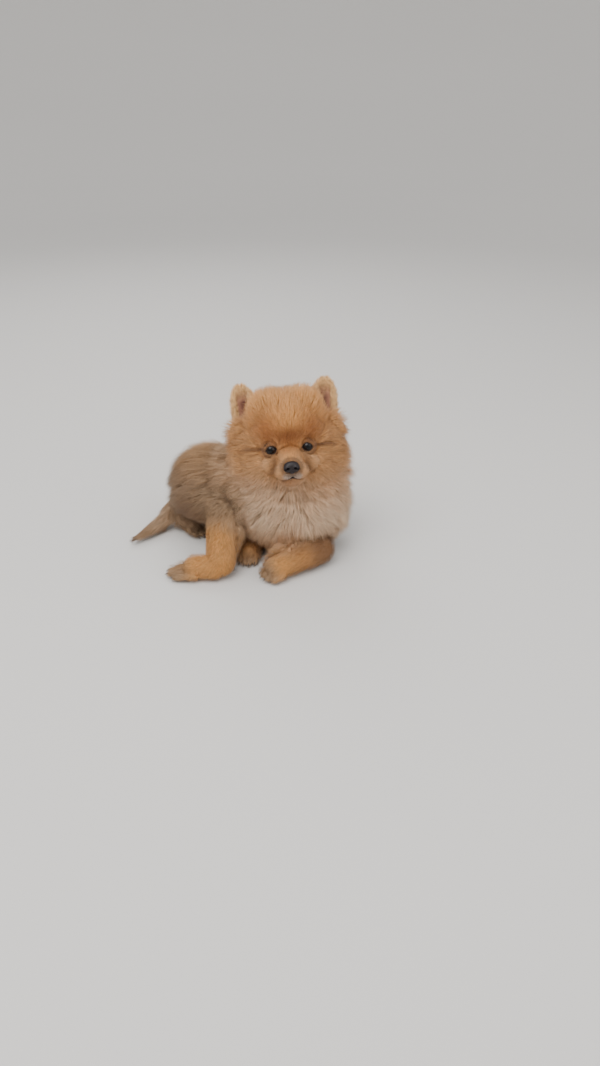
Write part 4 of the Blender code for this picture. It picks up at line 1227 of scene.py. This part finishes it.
@dataclass(frozen=True)
class Strands:
    """Hair strands as arrays: points along each, half widths, colours and the root's place on the map."""

    lines: np.ndarray
    widths: np.ndarray
    ups: np.ndarray
    colours: np.ndarray
    spots: np.ndarray

    def pick(self, which: np.ndarray) -> "Strands":
        """Some of the strands."""
        arrays = (self.lines, self.widths, self.ups, self.colours, self.spots)
        return Strands(*(array[which] for array in arrays))

    def triangles(self) -> int:
        """How many triangles the strands come to."""
        return len(self.lines) * ((self.lines.shape[1] - 2) * 6 + 4)

    def corners(self) -> np.ndarray:
        """The three corners round every point of every strand but the tip.

        Returns:
            An array by strand, point, corner and axis.
        """
        rings = self.lines.shape[1] - 1
        along = np.empty_like(self.lines)
        along[:, 1:-1] = self.lines[:, 2:] - self.lines[:, :-2]
        along[:, 0] = self.lines[:, 1] - self.lines[:, 0]
        along[:, -1] = self.lines[:, -1] - self.lines[:, -2]
        along = unit(along)
        side = unit(np.cross(along, self.ups[:, None, :]))[:, :rings]
        up = np.cross(side, along[:, :rings])
        wide = self.widths[:, :rings, None]
        middle = self.lines[:, :rings]
        low = middle - up * wide * 0.12
        return np.stack([low + side * wide, middle + up * wide * 0.26, low - side * wide], axis=2)

    def map_places(self, map_width: float = 0.0012, map_length: float = 0.0028) -> np.ndarray:
        """Where every point of every strand lies on the map, in a small patch by its root.

        Args:
            map_width: how wide half a patch is.
            map_length: how long a patch is.

        Returns:
            A row for each point of the mesh.
        """
        stations = self.lines.shape[1]
        rings = stations - 1
        aside = np.append(np.tile([1.0, 0.0, -1.0], rings), 0.0) * map_width
        ahead = np.append(np.repeat(np.linspace(0, 1, stations)[:rings], 3), 1.0) * map_length
        return (self.spots[:, None, :] + np.stack([aside, ahead], axis=1)[None]).reshape(-1, 2)

    def mesh(self, name: str) -> bpy.types.Mesh:
        """Builds the strands as three-sided tapered solids in one mesh.

        Args:
            name: the name of the mesh.

        Returns:
            The mesh, with its map and its colours.
        """
        count, stations, _ = self.lines.shape
        rings = stations - 1
        each = rings * 3 + 1
        points = np.concatenate([self.corners().reshape(count, rings * 3, 3), self.lines[:, -1:]], axis=1)
        quads = np.array([
            (ring * 3 + k, ring * 3 + (k + 1) % 3, ring * 3 + 3 + (k + 1) % 3, ring * 3 + 3 + k)
            for ring in range(rings - 1) for k in range(3)
        ])
        last = (rings - 1) * 3
        ends = np.array([(last + k, last + (k + 1) % 3, rings * 3) for k in range(3)] + [(2, 1, 0)])
        starts = np.arange(count)[:, None, None] * each
        loops = np.concatenate([(faces[None] + starts).ravel() for faces in (quads, ends)]).astype(np.int32)
        quad_count, end_count = count * len(quads), count * len(ends)
        begins = np.concatenate([np.arange(quad_count) * 4, quad_count * 4 + np.arange(end_count) * 3])
        mesh = bpy.data.meshes.new(name)
        mesh.vertices.add(count * each)
        mesh.vertices.foreach_set("co", points.astype(np.float32).ravel())
        mesh.loops.add(len(loops))
        mesh.loops.foreach_set("vertex_index", loops)
        mesh.polygons.add(quad_count + end_count)
        mesh.polygons.foreach_set("loop_start", begins.astype(np.int32))
        mesh.update(calc_edges=True)
        layer = mesh.uv_layers.new(name=MAP_NAME)
        layer.data.foreach_set("uv", np.clip(self.map_places(), 0.0, 1.0)[loops].astype(np.float32).ravel())
        shades = np.concatenate([np.repeat(self.colours[:, :rings], 3, axis=1), self.colours[:, -1:]], axis=1)
        store_colours(mesh, shades.reshape(-1, 3))
        return mesh


@dataclass(frozen=True)
class Roots:
    """Where strands leave the skin: each root's triangle, its shares of the corners, and its map place."""

    corners: np.ndarray
    shares: np.ndarray
    spots: np.ndarray

    def read(self, values: np.ndarray) -> np.ndarray:
        """Values at the roots, from values at the skin's points."""
        rows = values.reshape(len(values), -1)[self.corners]
        return (rows * self.shares[:, :, None]).sum(axis=1).reshape(len(self.corners), *values.shape[1:])


@dataclass
class Coat:
    """The whole coat: strands on every part of the skin, gathered into locks and the finer wisps in them."""

    skin: Object
    pelage: Pelage
    finish: Material
    long_density: float = 1.23e6
    short_density: float = 3.1e6
    quick_share: float = 0.04
    long_width: float = 0.00018
    short_width: float = 0.00015
    short_hair: float = 0.0040
    short_points: tuple[float, ...] = (0.0, 1.0)
    long_points: tuple[float, ...] = (0.0, 0.42, 1.0)
    limit: int = 190000
    lock_sizes: Triple = (0.34, 0.0020, 0.0085)
    wisp_sizes: Triple = (0.13, 0.0010, 0.0034)
    lock_pull: float = 0.45
    wisp_pull: float = 0.75
    wild_share: float = 0.10
    wild_length: float = 1.22
    no_outline: float = 0.0015
    stations: tuple[float, ...] = (0.0, 0.33, 0.67, 1.0)
    taper: tuple[float, ...] = (0.9, 1.0, 0.75, 0.0)
    shading: tuple[float, ...] = (0.86, 0.96, 1.03, 1.10)

    def build(self) -> None:
        """Grows every zone's strands and makes their pieces."""
        rng = np.random.default_rng(SEED)
        roots = self.sow(rng)
        zones = self.pelage.zones[roots.corners[:, 0]]
        lengths = roots.read(self.pelage.lengths)
        made = dict.fromkeys(Zone, 0)
        short = lengths < self.short_hair
        for shares, fits in ((self.short_points, short), (self.long_points, ~short)):
            strands = self.grow(roots, np.array(shares), rng)
            keep = self.clear_face(strands.lines) & fits
            for zone, order in ORDER.items():
                part = strands.pick(np.flatnonzero(keep & (zones == order)))
                pieces = math.ceil(part.triangles() / self.limit)
                for which in np.array_split(np.arange(len(part.lines)), max(1, pieces)):
                    if len(which):
                        made[zone] += 1
                        self.piece(zone, made[zone], part.pick(which))

    def sow(self, rng: np.random.Generator) -> Roots:
        """Scatters roots over the skin, denser where the coat is short.

        Args:
            rng: the seeded source of chance.

        Returns:
            The roots.
        """
        mesh = self.skin.data
        mesh.calc_loop_triangles()
        corners = read(mesh.loop_triangles, "vertices", 3, np.int32)
        maps = read(mesh.uv_layers[MAP_NAME].data, "uv", 2)[read(mesh.loop_triangles, "loops", 3, np.int32)]
        points = self.pelage.places[corners]
        areas = np.linalg.norm(np.cross(points[:, 1] - points[:, 0], points[:, 2] - points[:, 0]), axis=1) / 2
        weights = np.cumsum(areas * self.density()[corners].mean(axis=1))
        total = int(weights[-1] * (1.0))
        ticks = (np.arange(total) + rng.random(total)) / total * weights[-1]
        chosen = np.searchsorted(weights, ticks).clip(0, len(corners) - 1)
        u, v = rng.random(total), rng.random(total)
        over = u + v > 1
        u, v = np.where(over, 1 - u, u), np.where(over, 1 - v, v)
        shares = np.stack([1 - u - v, u, v], axis=1)
        return Roots(corners[chosen], shares, (maps[chosen] * shares[:, :, None]).sum(axis=1))

    def density(self) -> np.ndarray:
        """Strands for each square metre at the skin's points.

        Returns:
            The density at each point, or 0 where the skin is bare.
        """
        pelage = self.pelage
        short = smooth_step(0.018, 0.003, pelage.lengths)
        density = self.long_density + (self.short_density - self.long_density) * short
        density *= 1 - 0.35 * pelage.inside
        legs = (pelage.zones == ORDER[Zone.FORELEG]) | (pelage.zones == ORDER[Zone.FOOT])
        density = np.where(legs, density * 0.44, density)
        face = off_centre(pelage.local, (0.0, -0.030, -0.010))
        density *= 1 + 1.1 * smooth_step(0.034, 0.018, face)
        nose = off_centre(pelage.local, FACE.nose, (0.0080, 0.0056, 0.0050))
        bare = (pelage.from_eye < 0.0077) | (nose < 1.0) | (pelage.from_lips < 0.0013)
        under = (pelage.places[:, 2] < 0.006) & (pelage.normals[:, 2] < -0.4)
        return np.where(bare, 0.0, np.where(under, density * 0.05, density))

    def rise(self, roots: Roots, length: np.ndarray) -> np.ndarray:
        """How far each strand's tip stands off the skin, so that the coat ends at its outline.

        Args:
            roots: where the strands leave the skin.
            length: how long they are.

        Returns:
            The height of each tip.
        """
        pelage = self.pelage
        reach, ear = roots.read(pelage.reach), roots.read(pelage.ear)
        rise = np.where(reach > self.no_outline, np.minimum(reach * 1.02, length * 0.74), length * 0.40)
        tail = pelage.zones[roots.corners[:, 0]] == ORDER[Zone.TAIL]
        rise = np.where(tail & (reach < self.no_outline), length * 0.22, rise)
        raised = np.minimum(length * 0.72, reach + 0.0060)
        rise += np.maximum(raised - rise, 0.0) * roots.read(pelage.hollow)
        return rise * (1 - ear) + length * (0.40 - 0.25 * roots.read(pelage.inside)) * ear

    def grow(self, roots: Roots, shares: np.ndarray, rng: np.random.Generator) -> Strands:
        """Bends each strand from its root to its tip, towards the middle of its lock.

        Args:
            roots: where the strands leave the skin.
            shares: how far along a strand each of its points is, from 0 to 1.
            rng: the seeded source of chance.

        Returns:
            The strands.
        """
        pelage = self.pelage
        places, normals = roots.read(pelage.places), unit(roots.read(pelage.normals))
        full, loose = roots.read(pelage.lengths), 1 - 0.65 * roots.read(pelage.head)
        count = len(places)
        length = full * rng.uniform(0.78, 1.12, count)
        wild = rng.random(count) < self.wild_share
        length *= np.where(wild, self.wild_length, 1.0)
        rise = self.rise(roots, length) * (1 + rng.uniform(-0.28, 0.10, count) * (0.4 + 0.6 * loose))
        lie = unit(roots.read(pelage.lies))
        across = np.cross(lie, normals)
        owner, centres = self.locks(places, full, self.lock_sizes, rng)
        wisp, middles = self.locks(places, full, self.wisp_sizes, rng)
        turn = (rng.normal(0.0, 0.22, len(centres))[owner] + rng.normal(0.0, 0.10, count)) * loose
        rise = np.minimum(rise * (1 + rng.uniform(-0.14, 0.10, len(centres))[owner] * loose), length * 0.9)
        lock_tone = rng.normal(1.0, 0.06, len(centres))[owner]
        lie = unit(lie + across * turn[:, None])
        run = np.sqrt(np.maximum(length**2 - rise**2, (0.3 * length) ** 2))
        toward = (places[centres][owner] - places) * self.lock_pull
        toward = toward + (places[middles][wisp] - places) * self.wisp_pull
        toward -= normals * (toward * normals).sum(axis=1, keepdims=True)
        pull = np.where(wild, 0.15, 0.75) * smooth_step(0.003, 0.026, full) * loose
        settling = np.where(wild, 1.3, 2.4)
        wave = rng.normal(0.0, 0.04, count) * length
        lines = np.empty((count, len(shares), 3))
        for order, share in enumerate(shares):
            up = rise * (1 - (1 - share) ** settling) - (0.0007 if order == 0 else 0.0)
            spot = places + normals * up[:, None] + lie * (run * share**1.2)[:, None]
            sway = across * (wave * math.sin(math.pi * share))[:, None]
            spot += toward * (pull * share**1.3)[:, None] + sway
            spot[:, 2] = np.maximum(spot[:, 2] - 0.05 * length * share**2, 0.0004 + 0.0006 * share)
            lines[:, order] = spot
        short = smooth_step(0.014, 0.006, full)
        width = self.long_width + (self.short_width - self.long_width) * short
        width *= rng.uniform(0.8, 1.25, count)
        width *= np.where(wild, 0.75, 1.0)
        widths = width[:, None] * np.interp(shares, self.stations, self.taper)
        return Strands(lines, widths, normals, self.tints(roots, shares, lock_tone, rng), roots.spots)

    def tints(
        self, roots: Roots, shares: np.ndarray, lock_tone: np.ndarray, rng: np.random.Generator,
    ) -> np.ndarray:
        """The colour of each point of each strand, darker at the root and lighter at the tip.

        Args:
            roots: where the strands leave the skin.
            shares: how far along a strand each of its points is, from 0 to 1.
            lock_tone: how light each strand's lock is.
            rng: the seeded source of chance.

        Returns:
            The colours.
        """
        count = len(lock_tone)
        tone = lock_tone * rng.normal(1.0, 0.07, count)
        warm = rng.normal(0.0, 0.025, count)
        tints = np.stack([1 + warm, np.ones(count), 1 - 1.5 * warm], axis=1) * tone[:, None]
        deep = (0.3 + 0.7 * smooth_step(0.004, 0.024, roots.read(self.pelage.lengths)))[:, None]
        shade = 1 + (np.interp(shares, self.stations, self.shading) - 1)[None] * deep
        return (roots.read(self.pelage.colours) * tints)[:, None, :] * shade[:, :, None]

    @staticmethod
    def locks(
        places: np.ndarray, full: np.ndarray, sizes: Triple, rng: np.random.Generator,
    ) -> tuple[np.ndarray, np.ndarray]:
        """Chooses a strand as the middle of each lock and gives every strand its nearest one.

        Args:
            places: the roots of the strands.
            full: the length of the coat at each root.
            sizes: how far apart the locks are as a share of that length, and the least and most of it.
            rng: the seeded source of chance.

        Returns:
            For every strand the number of its lock, and for every lock the number of its middle strand.
        """
        share, least, most = sizes
        spacing = np.clip(full * share, least, most)
        centres = np.flatnonzero(rng.random(len(places)) < 1.0 / (spacing**2 * 1.0e6))
        tree = KDTree(len(centres))
        for order, centre in enumerate(centres):
            tree.insert(places[centre], order)
        tree.balance()
        return np.array([tree.find(place)[1] for place in places]), centres

    @staticmethod
    def clear_face(lines: np.ndarray) -> np.ndarray:
        """Marks the strands that cover neither an eye nor the nose.

        Args:
            lines: the points along each strand.

        Returns:
            Whether each strand is kept.
        """
        folded = mirror(lines.reshape(-1, 3)).reshape(lines.shape)
        eye = folded - np.array(FACE.eye)
        inside = np.linalg.norm(eye, axis=2) < FACE.eye_radius + 0.0003
        before = (np.hypot(eye[..., 0] / 1.15, eye[..., 2]) < FACE.lid_height * 0.95) & (eye[..., 1] < -0.002)
        nose = off_centre(folded, FACE.nose, (0.0080, 0.0064, 0.0054)) < 1.0
        leather = nose & (folded[..., 1] < FACE.nose[1] + 0.002)
        return ~(inside | before | leather)[:, 1:].any(axis=1)

    def piece(self, zone: Zone, number: int, strands: Strands) -> None:
        """Makes one piece of the coat.

        Args:
            zone: the part of the coat.
            number: the piece's number in it.
            strands: the piece's strands.
        """
        label, slot = zone.value
        name = f"coat_{label}_{number}"
        finish_piece(to_scene(name, strands.mesh(name)), self.finish)


@dataclass
class Eyes:
    """The two eyeballs with a raised cornea, and the dark rims of their lids."""

    finish: Material
    rim_finish: Material
    rim_radius: float = 0.00062
    cornea: float = 0.7
    cornea_rise: float = 0.0005
    outward: float = math.radians(9.0)

    def build(self) -> None:
        """Makes both eyes and their rims."""
        for side, name in SIDES.items():
            eyeball = finish_piece(self.ball(side, name), self.finish)
            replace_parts(eyeball, "eye_" + name)
            points = FACE.lid_points(side, 40, 0.0001)
            rim = cord("lid_rim_" + name, points, [self.rim_radius] * len(points), closed=True)
            finish_piece(rim, self.rim_finish)

    def ball(self, side: int, name: str) -> Object:
        """One eyeball, whose own frame looks out along -Y.

        Args:
            side: 1 for the dog's left and -1 for its right.
            name: the word for that side.

        Returns:
            The eyeball.
        """
        shape = bmesh.new()
        bmesh.ops.create_uvsphere(shape, u_segments=48, v_segments=32, radius=FACE.eye_radius)
        shape.transform(Matrix.Rotation(math.radians(90.0), 4, "X"))
        for spot in shape.verts:
            off = math.hypot(spot.co.x, spot.co.z) / FACE.eye_radius
            if spot.co.y < 0 and off < self.cornea:
                spot.co.y -= self.cornea_rise * (1 - (off / self.cornea) ** 2)
        made = mesh_object("eyeball_" + name, shape)
        turn = Matrix.Rotation(self.outward * side, 4, "Z")
        made.matrix_world = HEAD @ Matrix.Translation(FACE.eye_centre(side)) @ turn
        return made


@dataclass
class Nose:
    """The nose leather with its nostrils. Places are from the middle of the nose, in the head's own frame."""

    finish: Material
    voxel: float = 0.00035
    cutter_voxel: float = 0.0003
    pad: tuple[Triple, Triple] = ((0.0, 0.0, 0.0005), (0.0078, 0.0046, 0.0054))
    wing: tuple[Triple, Triple] = ((0.0040, -0.0006, -0.0008), (0.0042, 0.0046, 0.0046))
    base: tuple[Triple, Triple] = ((0.0, -0.0004, -0.0036), (0.0034, 0.0040, 0.0034))
    nostril: tuple[Triple, Triple] = ((0.0037, -0.0048, -0.0010), (0.0017, 0.0028, 0.0014))
    slit: tuple[Triple, Triple] = ((0.0060, -0.0032, -0.0021), (0.0021, 0.0024, 0.0006))
    cleft: tuple[Triple, Triple] = ((0.0, -0.0052, -0.0040), (0.00035, 0.0012, 0.0034))

    def build(self) -> None:
        """Makes the nose."""
        forms = ((1, self.pad), (1, self.wing), (-1, self.wing), (1, self.base))
        made = fuse(self.balls("nose_leather_piece", *forms), self.voxel, 4, 9000)
        for side in SIDES:
            opening = self.balls("nostril", (side, self.nostril), (side, self.slit))
            cut(made, fuse(opening, self.cutter_voxel, 2, 1500))
        cut(made, self.balls("cleft", (1, self.cleft)))
        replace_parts(finish_piece(made, self.finish), "nose")

    @staticmethod
    def balls(name: str, *forms: tuple[int, tuple[Triple, Triple]]) -> Object:
        """Several rounded forms of the nose in one object.

        Args:
            name: the object's name.
            forms: for each form its side, and its centre and radii on the dog's left.

        Returns:
            The object.
        """
        shape = bmesh.new()
        for side, (where, radii) in forms:
            add_ball(shape, Vector(FACE.nose) + Vector((side * where[0], *where[1:])), radii, HEAD)
        return mesh_object(name, shape)


@dataclass
class Mouth:
    """The dark edge of the lips, thicker in the middle."""

    finish: Material
    steps: int = 40
    inset: float = 0.0012
    thin: float = 0.0002
    swell: float = 0.0008

    def build(self) -> None:
        """Makes the lip line."""
        points, radii = [], []
        for step in range(self.steps + 1):
            share = step / self.steps * (len(FACE.mouth) - 1)
            index = min(int(share), len(FACE.mouth) - 2)
            spot = Vector(FACE.mouth[index]).lerp(Vector(FACE.mouth[index + 1]), share - index)
            points.append(HEAD @ (spot - FACE.from_heart(spot) * self.inset))
            radii.append(self.thin + self.swell * math.sin(math.pi * step / self.steps) ** 2.5)
        finish_piece(cord("lips", points, radii, closed=False), self.finish)


@dataclass
class Claws:
    """The claws of all four feet."""

    finish: Material
    length: float = 0.0050
    radius: float = 0.0009
    drop: float = 0.0030
    steps: int = 6
    sides: int = 10

    def build(self) -> None:
        """Makes one piece of claws for each foot."""
        for name, limb in LIMBS.items():
            if limb.toes:
                shape = bmesh.new()
                for _, tip, along, thick in limb.toe_lines():
                    add_tube(shape, self.rings(tip, along, thick))
                finish_piece(mesh_object("claws_" + name, shape), self.finish)

    def rings(self, tip: Vector, along: Vector, thick: float) -> list[list[Vector]]:
        """The rings of one curved claw that tapers to a point.

        Args:
            tip: the middle of the end of its toe.
            along: the level way that the toe points.
            thick: the toe's radius.

        Returns:
            The rings in their order, each as a list of points.
        """
        start = tip + along * (thick * 0.45) + UP * (thick * 0.15)
        across = along.cross(UP)
        rings = []
        for step in range(self.steps + 1):
            share = step / self.steps
            spot = start + along * (self.length * share)
            spot.z = max(start.z - self.drop * share**1.8, 0.0006)
            radius = self.radius * (1 - share) ** 0.75 + 0.00008
            rings.append([
                spot + across * (radius * 0.75 * math.cos(turn)) + UP * (radius * math.sin(turn))
                for turn in (2 * math.pi * side / self.sides for side in range(self.sides))
            ])
        return rings


@dataclass
class Studio:
    """The pale floor, the soft lights and the camera at the photo's viewpoint."""

    lens: float = 27.08
    sensor: float = 36.0
    camera_place: Triple = (0.066, -0.817, 0.48)
    camera_pitch: float = math.radians(59.8)
    aim: Triple = (0.0, -0.02, 0.08)
    floor_radius: float = 1.9
    bowl_radius: float = 1.2
    world_grey: float = 0.90
    world_strength: float = 0.93
    pale: tuple[Triple, Triple] = ((0.62, 0.60, 0.575), (0.66, 0.64, 0.615))

    def build(self) -> None:
        """Makes the stage."""
        self.floor()
        self.light("key", (-0.35, -0.65, 1.35), 1.2, 20.5)
        self.light("fill", (1.00, -0.60, 0.80), 1.2, 5.0)
        self.light("back", (-0.30, 1.05, 1.10), 1.0, 6.0)
        world = bpy.data.worlds.new("studio")
        world.use_nodes = True
        background = world.node_tree.nodes["Background"]
        background.inputs["Color"].default_value = (self.world_grey, self.world_grey, self.world_grey, 1.0)
        background.inputs["Strength"].default_value = self.world_strength
        bpy.context.scene.world = world
        camera = bpy.data.cameras.new("camera")
        camera.lens, camera.sensor_width, camera.clip_start = self.lens, self.sensor, 0.01
        holder = to_scene("camera", camera)
        holder.location = self.camera_place
        holder.rotation_euler = (self.camera_pitch, 0.0, 0.0)
        bpy.context.scene.camera = holder
        log.info("studio")

    def floor(self) -> None:
        """A wide plain floor that curves up into a low round backdrop."""
        shape = bmesh.new()
        profile = [(0.0, 0.0), (self.floor_radius, 0.0)]
        for turn in (0.2, 0.4, 0.6, 0.8, 1.0, 1.2):
            far = self.floor_radius + self.bowl_radius * math.sin(turn)
            profile.append((far, self.bowl_radius * (1 - math.cos(turn))))
        rim = [shape.verts.new((far, 0.0, high)) for far, high in profile]
        edges = [shape.edges.new(pair) for pair in zip(rim, rim[1:])]
        bmesh.ops.spin(shape, geom=rim + edges, cent=(0, 0, 0), axis=(0, 0, 1), angle=2 * math.pi, steps=72)
        bmesh.ops.remove_doubles(shape, verts=shape.verts, dist=0.0001)
        made = mesh_object("stage_floor", shape)
        pale = Surface("stage_pale")
        noise, ramp = pale.node("TexNoise", Scale=3.0), pale.node("ValToRGB")
        for element, colour in zip(ramp.color_ramp.elements, self.pale):
            element.color = (*colour, 1.0)
        pale.link(noise, "Fac", ramp, "Fac")
        pale.link(ramp, "Color", pale.shader, "Base Color")
        pale.shader.inputs["Roughness"].default_value = 0.7
        dress(made, pale.material)

    def light(self, name: str, place: Triple, size: float, power: float) -> None:
        """A large soft light that faces the puppy.

        Args:
            name: the light's name.
            place: where it is.
            size: how wide it is.
            power: how strong it is, in watts.
        """
        lamp = bpy.data.lights.new(name, "AREA")
        lamp.shape, lamp.size, lamp.energy = "DISK", size, power
        holder = to_scene(name, lamp)
        holder.location = place
        holder.rotation_euler = (Vector(self.aim) - Vector(place)).to_track_quat("-Z", "Y").to_euler()


def main() -> None:
    """Builds every part of the puppy and the stage in order."""
    Studio().build()
    body = Skin()
    skin = body.build()
    pelage = Pelage(skin.data)
    body.paint(pelage)
    finish_piece(skin, SkinFinish().build())
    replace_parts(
        skin, "head", "neck", "torso", "tail", "ear_left", "ear_right", "foreleg_left", "foreleg_right",
        "forepaw_left", "forepaw_right", "hindleg_left", "hindleg_right", "hindpaw_left", "hindpaw_right",
    )
    dark_skin = GrainFinish("dark_skin", (0.010, 0.008, 0.008), 0.50, 1800.0, 0.0002, 0.2).build()
    Eyes(EyeFinish().build(), dark_skin).build()
    Nose(GrainFinish("nose_leather", (0.014, 0.009, 0.010), 0.40, 2600.0, 0.0002, 0.3).build()).build()
    Mouth(dark_skin).build()
    Claws(GrainFinish("claw_horn", (0.075, 0.055, 0.045), 0.35, 700.0, 0.00005).build()).build()
    Coat(skin, pelage, CoatFinish().build()).build()


if __name__ == "__main__":
    main()
